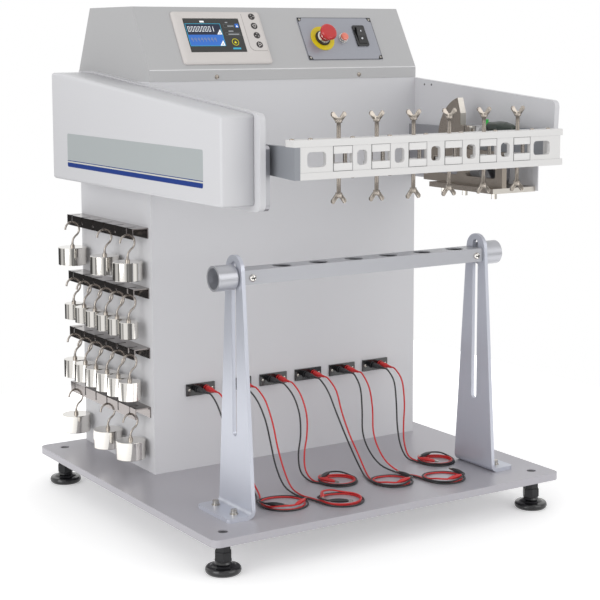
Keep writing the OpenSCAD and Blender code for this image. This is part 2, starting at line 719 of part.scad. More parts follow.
end_block_w = 19;
end_block_x = rail_right - 5.5 - end_block_w;
strip_w = station_pitch - station_w;
module window_plates() color([0.89, 0.89, 0.89]) on_deck() {
  window_plate(rail_left + arm_t, station_x(0) - station_w / 2, strip_w * 0.96);
  for (k = [0 : station_count - 2])
    window_plate(station_x(k) + station_w / 2, station_x(k + 1) - station_w / 2, strip_w * 0.53);
  window_plate(station_x(station_count - 1) + station_w / 2, end_block_x, strip_w);
  translate([end_block_x, rail_front + plate_step, gap_low]) cube([end_block_w, rail_d - plate_step, rail_gap]);
}

module guide_pins() color([0.7, 0.67, 0.62]) on_deck()
  for (k = [0 : station_count - 1], s = [-1, 1])
    translate([station_x(k) + s * pin_spread, rail_mid_y, gap_low - 8]) cylinder(h = rail_gap + 16, r = pin_d / 2);

// The wings of the screw head, seen along Y
wing_outline = [[-4, 0], [4, 0], [7, 3], [16.5, 14], [16.5, 17.5], [14, 20.5], [11, 20.5], [3, 10],
  [-3, 10], [-11, 20.5], [-14, 20.5], [-16.5, 17.5], [-16.5, 14], [-7, 3]];

// One jaw on its two pins with the wing screw that drives it; built for the upper rail
screw_len = 32;
jaw_depth = rail_d - 2;
module clamp() {
  difference() {
    translate([-station_w / 2 + gap, -jaw_depth / 2 + 0.5, -jaw_h]) cube([station_w - 2 * gap, jaw_depth, jaw_h]);
    for (s = [-1, 1]) translate([s * pin_spread, 0, -jaw_h - 1]) cylinder(h = jaw_h + 2, r = pin_d / 2 + running);
  }
  cylinder(h = rail_h + screw_len, r = screw_d / 2);
  translate([0, 0, rail_h + screw_len - 4]) cylinder(h = 9, r = 6.5);
  translate([0, 1.8, rail_h + screw_len - 4]) rotate([90, 0, 0]) linear_extrude(3.6) polygon(wing_outline);
}

module top_clamp(k) color([0.86, 0.86, 0.85]) on_deck() translate([station_x(k), rail_mid_y, gap_high]) clamp();
module low_clamp(k) color([0.86, 0.86, 0.85]) on_deck() translate([station_x(k), rail_mid_y, gap_low])
  rotate([180, 0, 0]) mirror([0, 1, 0]) clamp();

// Uprights and cable guide

upright_bend_r = 16;
upright_slot_low = 160;
upright_slot_top = guide_z + 22;
flange_out = 52;

// The tapered side of an upright with its round top and its long slot
module upright_outline()
  difference() {
    union() {
      lean = atan2(upright_foot_w / 2 - upright_top_r, upright_h - upright_bend_r);
      polygon([
        [guide_y - upright_foot_w / 2, upright_bend_r], [guide_y + upright_foot_w / 2, upright_bend_r],
        [guide_y + upright_top_r * cos(lean), upright_h + upright_top_r * sin(lean)],
        [guide_y - upright_top_r * cos(lean), upright_h + upright_top_r * sin(lean)]]);
      translate([guide_y, upright_h]) circle(r = upright_top_r, $fn = 72);
    }
    for (z = [upright_slot_low, upright_slot_top]) translate([guide_y, z]) circle(r = slot_half);
    translate([guide_y - slot_half, upright_slot_low]) square([2 * slot_half, upright_slot_top - upright_slot_low]);
  }

// The right-hand upright, standing at x = 0 with its foot bent to the right
module upright() {
  side_plate(0, upright_t) upright_outline();
  difference() {
    translate([upright_bend_r, guide_y - upright_foot_w / 2, upright_bend_r]) rotate([-90, 0, 0])
      cylinder(h = upright_foot_w, r = upright_bend_r);
    translate([upright_bend_r, guide_y - upright_foot_w, upright_bend_r]) rotate([-90, 0, 0])
      cylinder(h = 2 * upright_foot_w, r = upright_bend_r - upright_t);
    translate([upright_bend_r, guide_y - upright_foot_w, -1]) cube([upright_bend_r * 2, 2 * upright_foot_w, 50]);
    translate([-1, guide_y - upright_foot_w, upright_bend_r]) cube([upright_bend_r * 3, 2 * upright_foot_w, 50]);
  }
  difference() {
    translate([upright_bend_r, guide_y, 0]) linear_extrude(upright_t)
      polygon(rounded([[0, -upright_foot_w / 2], [upright_t + flange_out - upright_bend_r, -upright_foot_w / 2],
        [upright_t + flange_out - upright_bend_r, upright_foot_w / 2], [0, upright_foot_w / 2]], [0.01, 10, 10, 0.01]));
    for (y = [-36, 36])
      translate([upright_t + upright_bolt_x, guide_y + y, -1]) cylinder(h = upright_t + 2, r = bolt_d / 2 + running);
  }
}

module uprights() color([0.69, 0.7, 0.74]) on_deck() {
  translate([guide_x + upright_span / 2, 0, 0]) upright();
  translate([guide_x - upright_span / 2, 0, 0]) mirror([1, 0, 0]) upright();
}

guide_wall = 2.5;
guide_hole_r = 19;
function guide_hole_x(k) = frame_x - 6 + (k - (station_count - 1) / 2) * station_pitch;
bush_r = guide_bore / 2 + 5;

// Rectangular tube with end plugs and threaded studs that run through the slots
module guide_tube() color([0.72, 0.72, 0.73]) on_deck() {
  half = upright_span / 2 - gap;
  difference() {
    union() {
      difference() {
        translate([guide_x - half, guide_y - guide_d / 2, guide_z - guide_h / 2]) cube([2 * half, guide_d, guide_h]);
        translate([guide_x - half + 20, guide_y - guide_d / 2 + guide_wall, guide_z - guide_h / 2 + guide_wall])
          cube([2 * half - 40, guide_d - 2 * guide_wall, guide_h - 2 * guide_wall]);
      }
      for (s = [-1, 1]) translate([guide_x, 0, 0]) mirror([s < 0 ? 1 : 0, 0, 0])
        x_rod(half - 1, guide_y, guide_z, upright_t + 3 + 26, stud_r);
    }
    for (k = [0 : station_count - 1]) {
      translate([guide_hole_x(k), guide_y, guide_z]) cylinder(h = guide_h, r = guide_hole_r);
      translate([guide_hole_x(k), guide_y, guide_z - guide_h]) cylinder(h = guide_h, r = bush_r + running);
    }
  }
}

module guide_bushes() color([0.75, 0.74, 0.72]) on_deck()
  for (k = [0 : station_count - 1])
    translate([guide_hole_x(k), guide_y, guide_z - guide_h / 2 - 1]) rotate_extrude()
      polygon([[guide_bore / 2, 0], [bush_r, 0], [bush_r, guide_wall + 1], [bush_r + 3, guide_wall + 1],
        [bush_r + 3, guide_wall + 5], [bush_r + 1, 13], [bush_r - 1, 14], [guide_bore / 2 + 2, 14],
        [guide_bore / 2, 10]]);

// A turned cup with a flanged, threaded bottom; built for the right-hand side
knob_wall = 4;
module knob() difference() {
  union() {
    x_rod(upright_t + gap, 0, 0, 3, knob_d / 2 - 7);
    x_rod(upright_t + gap + 2.9, 0, 0, knob_len - 2.9, knob_d / 2);
  }
  x_rod(-1, 0, 0, 40, stud_r + running);
  x_rod(upright_t + gap + 14, 0, 0, knob_len, knob_d / 2 - knob_wall);
}

module right_knob() color([0.71, 0.71, 0.73]) on_deck()
  translate([guide_x + upright_span / 2, guide_y, guide_z]) knob();
module left_knob() color([0.71, 0.71, 0.73]) on_deck()
  translate([guide_x - upright_span / 2, guide_y, guide_z]) mirror([1, 0, 0]) knob();

// Hook rails and weights

hook_x = cabinet_left - hook_rail_out + hook_rail_t / 2;
rail_len = 5 * slot_pitch + 50;
function slot_y(k) = first_slot_y + k * slot_pitch;
function rail_z(row) = top_rail_z - row * hook_rail_pitch;
slot_w = 2 * hook_wire_r + 1.6;
slot_low = hook_rail_h - 17.5;

module hook_rails() color([0.32, 0.3, 0.29]) on_deck()
  for (row = [0 : 3])
    translate([cabinet_left - hook_rail_out, first_slot_y - 27, rail_z(row) - hook_rail_h]) difference() {
      cube([hook_rail_out, rail_len, hook_rail_h]);
      translate([hook_rail_t, -1, -1])
        cube([hook_rail_out - 2 * hook_rail_t, rail_len + 2, hook_rail_h - hook_rail_t + 1]);
      for (k = [0 : 5]) translate([-1, 27 + k * slot_pitch - slot_w / 2, slot_low]) cube([22, slot_w, hook_rail_h]);
    }

// Rows from the top: each holds the diameter, height and slots of its weights
weight_rows = [
  [large_weight_d, 39.5, [0, 2, 5]],
  [small_weight_d, 36, [0, 1, 2, 3, 4, 5]],
  [medium_weight_d, 41, [0, 1, 2, 3, 4, 5]],
  [large_weight_d, 39.5, [0, 2, 5]]];

module at_weights()
  for (row = [0 : 3], k = weight_rows[row][2])
    translate([hook_x, slot_y(k), rail_z(row) - hook_drop]) {
      $weight_d = weight_rows[row][0];
      $weight_h = weight_rows[row][1];
      children();
    }

module hanging_weights() color([0.75, 0.75, 0.76]) on_deck() at_weights()
  translate([0, 0, -$weight_h]) difference() {
    rotate_extrude($fn = 64) polygon([[0, 0], [$weight_d / 2 - 1, 0], [$weight_d / 2, 1],
      [$weight_d / 2, $weight_h - 1], [$weight_d / 2 - 1, $weight_h], [0, $weight_h]]);
    translate([0, 0, $weight_h - 12]) cylinder(h = 13, r = stem_r + running);
  }

// A question-mark hook in the XZ plane: loop over the rail, return bend, stem and collar
loop_z = hook_drop - hook_rail_h + slot_low + gap + hook_wire_r - hook_loop_r;
return_r = 20;
return_turn = acos(return_r / (hook_loop_r + return_r));
stem_r = hook_wire_r + 0.4;
stem_top = loop_z - (hook_loop_r + return_r) * sin(return_turn);
module bent_wire(x, z, r, from, turn)
  translate([x, 0, z]) rotate([90, 0, 0]) rotate([0, 0, from]) rotate_extrude(angle = turn)
    translate([r, 0]) circle(r = hook_wire_r, $fn = 20);

module weight_hooks() color([0.7, 0.67, 0.62]) on_deck() at_weights() {
  bent_wire(0, loop_z, hook_loop_r, -return_turn, 180 + return_turn);
  bent_wire(return_r, stem_top, return_r, 180 - return_turn, return_turn);
  rotate_extrude() polygon([[0, -10], [stem_r, -10], [stem_r, 0], [5, 0], [5, 4], [3.8, 4], [3.8, 6],
    [stem_r, 6], [stem_r, stem_top + 1], [0, stem_top + 1]]);
}

// Terminals, plugs and test leads

terminal_w = 69;
terminal_h = 26;
terminal_t = 4;
socket_r = 7;
socket_len = 4;
socket_spread = 10.5;
function terminal_x(k) = -200.5 + k * terminal_pitch;
function socket_x(k, side) = terminal_x(k) + 3 + side * socket_spread;
pin_r = 2;

module terminal_plates() color([0.09, 0.09, 0.1]) on_deck()
  for (k = [0 : station_count - 1]) difference() {
    union() {
      translate([terminal_x(k) - terminal_w / 2, cabinet_front - terminal_t, terminal_z - terminal_h / 2])
        cube([terminal_w, terminal_t, terminal_h]);
      for (s = [-1, 1])
        y_rod(socket_x(k, s), cabinet_front - terminal_t - socket_len, terminal_z, socket_len + 1, socket_r);
    }
    for (s = [-1, 1]) y_rod(socket_x(k, s), cabinet_front - 20, terminal_z, 40, pin_r + running);
  }

plug_len = 40;
plug_face = cabinet_front - terminal_t - socket_len;
module lead_plugs() color([0.6, 0.1, 0.1]) on_deck()
  for (k = [0 : station_count - 1], s = [-1, 1])
    translate([socket_x(k, s), plug_face, terminal_z]) rotate([90, 0, 0]) {
      rotate_extrude($fn = 32) polygon([[0, 0], [5.5, 0], [6, 4], [5.4, 18], [4.4, 20], [4.4, 26], [3.2, 28],
        [2.4, plug_len], [0, plug_len]]);
      translate([0, 0, -14]) cylinder(h = 14.5, r = pin_r);
    }

// Each coil of leads: its centre on the plate, its outer radius and the directions of its two clips
coils = [
  [-194, -279, 52, -140, -60],
  [-84, -321, 49, -125, 150],
  [-15, -208, 43, 120, -160],
  [80, -270, 46, 5, -75],
  [187, -308, 47, 0, -80],
  [253, -196, 42, 110, -160]];
coil_band = 10;
coil_h = 7;

// Route of each black and each red lead from its plug down to its coil, above the base plate
black_routes = [
  [[-204, -34, 152], [-201, -60, 112], [-200, -105, 60], [-204, -160, 20],
   [-214, -205, 3], [-234, -244, 3], [-243, -276, 3]],
  [[-107, -36, 150], [-102, -60, 112], [-112, -98, 70], [-132, -150, 38],
   [-146, -205, 12], [-144, -250, 3], [-136, -290, 3], [-130, -318, 3]],
  [[-14, -34, 148], [-12, -54, 112], [-26, -80, 74], [-52, -112, 42],
   [-68, -146, 16], [-66, -178, 3], [-55, -206, 3]],
  [[75, -36, 148], [79, -62, 106], [77, -102, 62], [68, -150, 28],
   [56, -198, 5], [43, -236, 3], [37, -268, 3]],
  [[161, -36, 146], [148, -62, 104], [126, -96, 64], [112, -138, 36],
   [112, -182, 12], [124, -226, 3], [137, -268, 3], [142, -306, 3]],
  [[256, -34, 148], [245, -58, 104], [226, -88, 62], [208, -124, 30],
   [203, -154, 8], [209, -178, 3], [214, -194, 3]]];
red_routes = [
  [[-184, -34, 154], [-184, -62, 116], [-188, -108, 62], [-196, -160, 22],
   [-207, -208, 3], [-228, -246, 3], [-239, -276, 3]],
  [[-88, -38, 148], [-90, -70, 106], [-104, -112, 66], [-122, -165, 34],
   [-135, -215, 10], [-136, -254, 3], [-129, -290, 3], [-126, -318, 3]],
  [[5, -34, 148], [5, -56, 110], [-11, -82, 74], [-38, -114, 44],
   [-56, -146, 18], [-58, -176, 3], [-51, -206, 3]],
  [[95, -38, 148], [91, -66, 106], [84, -106, 66], [76, -152, 32],
   [64, -198, 6], [49, -236, 3], [41, -268, 3]],
  [[184, -38, 144], [172, -68, 104], [146, -108, 66], [128, -152, 40],
   [121, -196, 18], [131, -236, 3], [143, -268, 3], [147, -306, 3]],
  [[278, -34, 148], [266, -60, 104], [242, -90, 64], [220, -122, 34],
   [211, -150, 10], [215, -174, 3], [218, -194, 3]]];
function from_plug(k, side, rest) = concat(
  [[socket_x(k, side), plug_face - plug_len, terminal_z],
   [socket_x(k, side) + 0.5, plug_face - plug_len - 16, terminal_z - 2]],
  rest);
routes = concat(
  [for (k = [0 : station_count - 1]) from_plug(k, -1, black_routes[k])],
  [for (k = [0 : station_count - 1]) from_plug(k, 1, red_routes[k])]);

// A point on the smooth curve through four neighbouring route points
function blend(p, t) = 0.5 * ((2 * p[1]) + (p[2] - p[0]) * t + (2 * p[0] - 5 * p[1] + 4 * p[2] - p[3]) * t * t
  + (3 * p[1] - p[0] - 3 * p[2] + p[3]) * t * t * t);
function smooth_path(r, steps) = let (n = len(r)) concat(
  [for (i = [0 : n - 2], s = [0 : steps - 1])
    blend([r[max(i - 1, 0)], r[i], r[i + 1], r[min(i + 2, n - 1)]], s / steps)], [r[n - 1]]);

lead_sides = 8;
rings_per_leg = 3;
module lead_tube(route) {
  path = smooth_path(route, rings_per_leg);
  n = len(path);
  points = [for (i = [0 : n - 1])
    let (
      along = unit(i == 0 ? [0, -1, 0] : i == n - 1 ? path[i] - path[i - 1] : path[i + 1] - path[i - 1]),
      side = unit(cross(along, [1, 0.2, 0.1])),
      up = cross(side, along)
    )
    for (a = [0 : lead_sides - 1])
      path[i] + lead_d / 2 * (side * cos(a * 360 / lead_sides) + up * sin(a * 360 / lead_sides))];
  sides = [for (i = [0 : n - 2], a = [0 : lead_sides - 1])
    let (b = (a + 1) % lead_sides)
      [i * lead_sides + a, (i + 1) * lead_sides + a, (i + 1) * lead_sides + b, i * lead_sides + b]];
  first = [for (a = [0 : lead_sides - 1]) a];
  last = [for (a = [lead_sides - 1 : -1 : 0]) (n - 1) * lead_sides + a];
  polyhedron(points = points, faces = concat([first], sides, [last]));
}

module test_leads() color([0.5, 0.08, 0.08]) on_deck() for (r = routes) lead_tube(r);

module lead_coils() color([0.45, 0.08, 0.08]) on_deck()
  for (c = coils) translate([c[0], c[1], 0])
    rotate_extrude() translate([c[2] - coil_band, 0]) square([coil_band, coil_h]);

// A crocodile clip lying across a chord of its coil
clip_outline = [[-26, -3], [-8, -4.5], [2, -3.5], [22, -1.2], [22, 1.2], [2, 3.5], [-8, 4.5], [-26, 3]];
module lead_clips() color([0.55, 0.1, 0.1]) on_deck()
  for (c = coils, turn = [c[3], c[4]])
    translate([c[0], c[1], coil_h]) rotate([0, 0, turn]) translate([c[2] - coil_band - 2, 0, 0]) rotate([0, 0, 90])
      linear_extrude(8) polygon(clip_outline);

base_plate();
foot_pads();
foot_studs();
cabinet_shell();
rear_panel();
electronics_plate();
console_shell();
hmi_bezel();
hmi_screen();
switch_plate();
estop_base();
estop_button();
pilot_lamp();
rocker_frame();
rocker();
left_wing();
belt_cover();
right_wing();
bearing_plates();
shaft_bearings();
motor_bracket();
bracket_shelf();
gearbox();
drive_motor();
angle_encoder();
encoder_pulley();
timing_belt();
frame_bolts();
swing_shafts();
swing_pulley();
swing_arms();
counterweight();
clamp_rails();
window_plates();
guide_pins();
for (k = [0 : station_count - 1]) {
  top_clamp(k);
  low_clamp(k);
}
uprights();
guide_tube();
guide_bushes();
left_knob();
right_knob();
hook_rails();
hanging_weights();
weight_hooks();
terminal_plates();
lead_plugs();
test_leads();
lead_coils();
lead_clips();
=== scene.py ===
"""The looks of a cable flex tester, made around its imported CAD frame.

Sizes are in millimetres, and heights are above the base plate, unless a comment or a unit says metres.
"""

import json
import math

import bmesh
import bpy
from bpy.props import FloatProperty, FloatVectorProperty, IntProperty, PointerProperty
from mathutils import Matrix, Vector


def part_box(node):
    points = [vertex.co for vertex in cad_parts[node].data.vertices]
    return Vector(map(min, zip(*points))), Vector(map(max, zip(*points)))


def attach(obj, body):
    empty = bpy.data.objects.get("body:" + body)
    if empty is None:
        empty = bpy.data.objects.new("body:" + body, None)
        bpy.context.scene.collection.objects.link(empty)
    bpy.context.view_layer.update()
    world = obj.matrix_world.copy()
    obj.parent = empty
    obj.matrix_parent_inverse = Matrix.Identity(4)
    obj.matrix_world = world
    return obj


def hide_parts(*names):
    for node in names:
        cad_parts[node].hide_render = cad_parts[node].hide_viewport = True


bl_info = {
    "name": "Cable Flex Tester",
    "version": (1, 0, 0),
    "blender": (4, 5, 0),
    "location": "View3D > Sidebar > Flex Tester",
    "description": "Dresses the packed frame of a cable flex tester",
    "category": "Object",
}

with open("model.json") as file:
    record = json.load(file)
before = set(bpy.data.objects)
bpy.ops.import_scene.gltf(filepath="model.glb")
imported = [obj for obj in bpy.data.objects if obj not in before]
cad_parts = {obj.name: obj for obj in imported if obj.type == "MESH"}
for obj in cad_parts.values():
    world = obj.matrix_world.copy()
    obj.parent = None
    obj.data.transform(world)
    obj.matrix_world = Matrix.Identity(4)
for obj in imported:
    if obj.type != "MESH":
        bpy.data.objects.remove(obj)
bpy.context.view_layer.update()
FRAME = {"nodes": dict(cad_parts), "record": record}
NODES = FRAME["nodes"]

PLATE_LOW, PLATE_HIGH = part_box("base_plate")
MIDDLE_Y = (PLATE_LOW.y + PLATE_HIGH.y) / 2
DECK_Z = PLATE_HIGH.z

STATIONS = 6
MACHINE = "machine"
SWING = "swing_frame"

# The sloping face of the console, as in the CAD
SLOPE_FOOT_Y = 48.5
SLOPE_FOOT_Z = 858
SLOPE_ANGLE = math.atan2(133, 77)

# Terminals, plugs, coils and clips, as in the CAD
FIRST_TERMINAL_X = -200.5
TERMINAL_PITCH = 92
TERMINAL_Z = 174
SOCKET_SPREAD = 10.5
SOCKET_SHIFT = 3
SOCKET_FACE_Y = 42
TERMINAL_FACE_Y = 46
TERMINAL_SCREW_DX = 28
PLUG_LEN = 40
COIL_BAND = 10
CLIP_LEN = 52


def deck(x, y, z):
    """A point in millimetres from the middle of the base plate's top, as metres in the row frame."""
    return Vector((x / 1000, MIDDLE_Y + y / 1000, DECK_Z + z / 1000))


def about(axis, degrees):
    return Matrix.Rotation(math.radians(degrees), 4, axis)


def out_by(height):
    """A move along a frame's Z axis."""
    return Matrix.Translation((0, 0, height))


def on_slope(x, s, out=0.0):
    """A frame on the console's slope: X along it, Y up it, Z out of it, its scale one millimetre."""
    foot = Matrix.Translation(deck(x, SLOPE_FOOT_Y, SLOPE_FOOT_Z)) @ Matrix.Rotation(SLOPE_ANGLE, 4, "X")
    return foot @ Matrix.Translation((0, s / 1000, out / 1000)) @ Matrix.Scale(0.001, 4)


def at_deck(x, y, z):
    """A frame at a point above the base plate, its scale one millimetre."""
    return Matrix.Translation(deck(x, y, z)) @ Matrix.Scale(0.001, 4)


def facing_front(x, y, z):
    """A frame whose Z axis points out of the machine's front."""
    return at_deck(x, y, z) @ about("X", 90)


def linear(rgb):
    """A colour of 0 to 1 as seen on a screen, in the renderer's linear values."""
    return tuple(c / 12.92 if c <= 0.04045 else ((c + 0.055) / 1.055) ** 2.4 for c in rgb[:3]) + (1.0,)


def tone(red, green, blue):
    return (red / 255, green / 255, blue / 255)


def colour_prop(label, text, *rgb):
    return FloatVectorProperty(
        name=label, description=text, default=tone(*rgb), size=3, min=0, max=1, subtype="COLOR_GAMMA"
    )


class FlexTesterColours(bpy.types.PropertyGroup):
    body: colour_prop("Body", "Powder coat of the cabinet, wings and cover", 216, 216, 219)
    console: colour_prop("Console", "Powder coat of the console", 188, 188, 189)
    base: colour_prop("Base", "Satin finish of the base plate", 180, 178, 184)
    upright: colour_prop("Upright", "Brushed finish of the uprights", 198, 201, 211)
    bar: colour_prop("Bar", "Anodised finish of the clamp bar", 227, 226, 225)
    nickel: colour_prop("Nickel", "Plating of the bracket and counterweight", 152, 143, 133)
    steel: colour_prop("Steel", "Machined steel", 172, 172, 176)
    red: colour_prop("Red", "Red leads and plugs", 204, 34, 36)
    yellow: colour_prop("Yellow", "Legend disc of the stop button", 226, 204, 24)
    lamp: colour_prop("Lamp", "Cap of the pilot lamp", 242, 132, 112)
    bezel: colour_prop("Bezel", "Housing of the operator panel", 216, 211, 208)
    motor: colour_prop("Motor", "Paint of the drive motor", 34, 46, 38)
    label: colour_prop("Label", "Ground of the side label", 184, 190, 191)
    stripe: colour_prop("Stripe", "Stripe of the side label", 30, 62, 140)


class FlexTesterSizes(bpy.types.PropertyGroup):
    lead: FloatProperty(name="Lead", description="Diameter of a test lead", default=0.0036, unit="LENGTH")
    turns: IntProperty(name="Turns", description="Turns of each lead in its coil", default=2, min=1, max=3)


class FlexTesterStage(bpy.types.PropertyGroup):
    lens: FloatProperty(name="Lens", description="Focal length", default=92.93, subtype="DISTANCE_CAMERA")
    key: FloatProperty(name="Key", description="Power of the key light", default=47, unit="POWER")
    fill: FloatProperty(name="Fill", description="Power of the fill light", default=28, unit="POWER")
    sky: FloatProperty(name="Sky", description="Strength of the surroundings", default=0.71, min=0)


# Meshes


FINISHES = {}
MERGE_METRES = 1e-6
SHARP_ANGLE = math.radians(35)
EASED_ANGLE = math.radians(40)


def add_object(name, data):
    thing = bpy.data.objects.new(name, data)
    bpy.context.scene.collection.objects.link(thing)
    return thing


def finish_piece(bm, name, look, body=MACHINE, replaces=(), bevel=0.0, smooth=True):
    """Turns a bmesh into an object of the scene that rides on a body."""
    bmesh.ops.remove_doubles(bm, verts=bm.verts, dist=MERGE_METRES)
    bmesh.ops.recalc_face_normals(bm, faces=bm.faces)
    mesh = bpy.data.meshes.new(name)
    bm.to_mesh(mesh)
    bm.free()
    if smooth:
        mesh.shade_smooth()
        mesh.set_sharp_from_angle(angle=SHARP_ANGLE)
    piece = add_object(name, mesh)
    mesh.materials.append(FINISHES[look])
    if bevel:
        edge = piece.modifiers.new("Eased edges", "BEVEL")
        edge.width = bevel / 1000
        edge.segments = 2
        edge.limit_method = "ANGLE"
        edge.angle_limit = EASED_ANGLE
        edge.harden_normals = True
    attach(piece, body)
    if replaces:
        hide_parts(*replaces)
    return piece


def body_of(node):
    """The body that a CAD node rides on."""
    for body, nodes in FRAME["record"]["behaviour"]["bodies"].items():
        if node in nodes:
            return body
    raise ValueError(f"{node} is on no body")


# The largest face, in square metres, that a merged copy of a CAD node shades as round
SMOOTH_AREA = 6e-5


def two_tone(node, look, other, picks):
    """Stands a merged copy of a node in for it, with another finish on the faces that picks() names."""
    bm = bmesh.new()
    bm.from_mesh(NODES[node].data)
    bmesh.ops.remove_doubles(bm, verts=bm.verts, dist=MERGE_METRES)
    bm.normal_update()
    for face in bm.faces:
        face.material_index = 1 if picks(face.calc_center_median(), face.normal) else 0
    piece = finish_piece(bm, node + "_dressed", look, body=body_of(node), replaces=[node])
    piece.data.materials.append(FINISHES[other])
    for polygon in piece.data.polygons:
        polygon.use_smooth = polygon.area < SMOOTH_AREA


def loft(bm, loops, frame):
    """A closed skin over outlines of equal count, each with its points, its height and its middle."""
    rings = []
    for outline, height, (dx, dy) in loops:
        rings.append([bm.verts.new(frame @ Vector((x + dx, y + dy, height))) for x, y in outline])
    bm.faces.new(rings[0])
    bm.faces.new(rings[-1])
    for lower, upper in zip(rings, rings[1:]):
        for i in range(len(lower)):
            bm.faces.new((lower[i - 1], lower[i], upper[i], upper[i - 1]))


def mark(bm, x, y, width, height, frame, thick=0.15):
    """A thin rectangle on a face."""
    place = frame @ Matrix.Translation((x, y, thick / 2)) @ Matrix.Diagonal((width, height, thick, 1))
    bmesh.ops.create_cube(bm, size=1, matrix=place)


def hollow_mark(bm, x, y, width, height, line, frame, thick=0.15):
    """A thin rectangular line on a face."""
    for side in (-1, 1):
        mark(bm, x, y + side * (height - line) / 2, width, line, frame, thick)
        mark(bm, x + side * (width - line) / 2, y, line, height, frame, thick)


def rod(bm, radius, start, end, frame):
    """A cylinder from height start to height end on a frame's Z axis."""
    place = frame @ out_by((start + end) / 2)
    bmesh.ops.create_cone(
        bm, cap_ends=True, segments=20, radius1=radius, radius2=radius, depth=end - start, matrix=place
    )


def turned(bm, profile, frame, steps=40, closed=False):
    """A solid of revolution from points of radius and height, on the axis at both ends unless it is closed."""
    verts = [bm.verts.new(frame @ Vector((r, 0, h))) for r, h in profile]
    following = verts[1:] + verts[:1] if closed else verts[1:]
    edges = [bm.edges.new(pair) for pair in zip(verts, following)]
    axis = (frame.to_3x3() @ Vector((0, 0, 1))).normalized()
    bmesh.ops.spin(
        bm, geom=verts + edges, cent=frame.translation, axis=axis, angle=math.tau, steps=steps, use_merge=True
    )


def ring(bm, inner, outer, low, high, frame, steps=48):
    """A plain ring round a frame's Z axis."""
    turned(bm, [(inner, low), (outer, low), (outer, high), (inner, high)], frame, steps, closed=True)


def slab(bm, outline, low, high, frame):
    """A plate with an outline in a frame's XY plane, between two heights."""
    verts = [bm.verts.new(frame @ Vector((x, y, low))) for x, y in outline]
    face = bm.faces.new(verts)
    raised = bmesh.ops.extrude_face_region(bm, geom=[face])
    moved = [v for v in raised["geom"] if isinstance(v, bmesh.types.BMVert)]
    lift = frame.to_3x3() @ Vector((0, 0, high - low))
    bmesh.ops.translate(bm, verts=moved, vec=lift)


def rounded_outline(width, height, radius, steps=6):
    """The corner points of a rectangle with round corners, centred on its middle."""
    points = []
    for corner, (sx, sy) in enumerate(((1, 1), (-1, 1), (-1, -1), (1, -1))):
        for k in range(steps + 1):
            a = math.radians(90 * (corner + k / steps))
            x = sx * (width / 2 - radius) + radius * math.cos(a)
            y = sy * (height / 2 - radius) + radius * math.sin(a)
            points.append((x, y))
    return points


# Finishes


def feed(tree, sockets, given):
    """Links sockets to other ones, or sets them to plain values."""
    for key, value in dict(given).items():
        if isinstance(value, bpy.types.NodeSocket):
            tree.links.new(value, sockets[key])
        else:
            sockets[key].default_value = value


def add_node(tree, kind, given=(), **settings):
    """A shader node with its settings, and with values or links for its inputs."""
    node = tree.nodes.new("ShaderNode" + kind)
    for name, value in settings.items():
        setattr(node, name, value)
    feed(tree, node.inputs, given)
    return node


def maths(tree, operation, *given, **settings):
    """The result of a math node."""
    return add_node(tree, "Math", enumerate(given), operation=operation, **settings).outputs[0]


def make_grain_group():
    """Shared group: a colour with a stretched grain, a roughness that follows it, and a height."""
    tree = bpy.data.node_groups.new("Surface Grain", "ShaderNodeTree")
    for label, kind, value in (
        ("Colour", "Color", (0.8, 0.8, 0.8, 1)),
        ("Stretch", "Vector", (100, 100, 100)),
        ("Contrast", "Float", 0.05),
        ("Roughness", "Float", 0.4),
        ("Spread", "Float", 0.1),
    ):
        socket = tree.interface.new_socket(name=label, in_out="INPUT", socket_type="NodeSocket" + kind)
        socket.default_value = value
    for label, kind in (("Colour", "Color"), ("Roughness", "Float"), ("Height", "Float")):
        tree.interface.new_socket(name=label, in_out="OUTPUT", socket_type="NodeSocket" + kind)
    given = tree.nodes.new("NodeGroupInput").outputs
    place = add_node(tree, "TexCoord").outputs["Object"]
    stretch = add_node(tree, "VectorMath", {0: place, 1: given["Stretch"]}, operation="MULTIPLY")
    fine = add_node(tree, "TexNoise", {"Vector": stretch.outputs["Vector"], "Scale": 1.0, "Detail": 3.0})
    broad = add_node(tree, "TexNoise", {"Vector": place, "Scale": 3.5, "Detail": 2.0})
    both = maths(tree, "ADD", fine.outputs["Fac"], broad.outputs["Fac"])
    centred = maths(tree, "SUBTRACT", both, 1.0)
    gain = maths(tree, "MULTIPLY_ADD", centred, given["Contrast"], 1.0)
    tint = add_node(tree, "VectorMath", {0: given["Colour"], "Scale": gain}, operation="SCALE")
    rough = maths(tree, "MULTIPLY_ADD", centred, given["Spread"], given["Roughness"], use_clamp=True)
    result = {"Colour": tint.outputs["Vector"], "Roughness": rough, "Height": fine.outputs["Fac"]}
    feed(tree, tree.nodes.new("NodeGroupOutput").inputs, result)
    return tree


# The height of a finish's grain, in metres, at full strength
GRAIN_HEIGHT = 0.0004


def finish(name, rgb, roughness, contrast, metallic=0.0, stretch=(60, 60, 60), spread=0.06, bump=0.0,
           coat=0.0):
    """A material whose colour and roughness vary a little over the surface."""
    material = bpy.data.materials.new(name)
    material.use_nodes = True
    tree = material.node_tree
    shader = tree.nodes["Principled BSDF"].inputs
    grain = tree.nodes.new("ShaderNodeGroup")
    grain.node_tree = bpy.data.node_groups.get("Surface Grain") or make_grain_group()
    feed(tree, grain.inputs, {
        "Colour": linear(rgb), "Stretch": stretch, "Contrast": contrast,
        "Roughness": roughness, "Spread": spread,
    })
    feed(tree, shader, {
        "Base Color": grain.outputs["Colour"], "Roughness": grain.outputs["Roughness"],
        "Metallic": metallic, "Coat Weight": coat, "Coat Roughness": 0.08,
    })
    if bump:
        height = grain.outputs["Height"]
        relief = add_node(tree, "Bump", {"Strength": bump, "Distance": GRAIN_HEIGHT, "Height": height})
        tree.links.new(relief.outputs["Normal"], shader["Normal"])
    return material


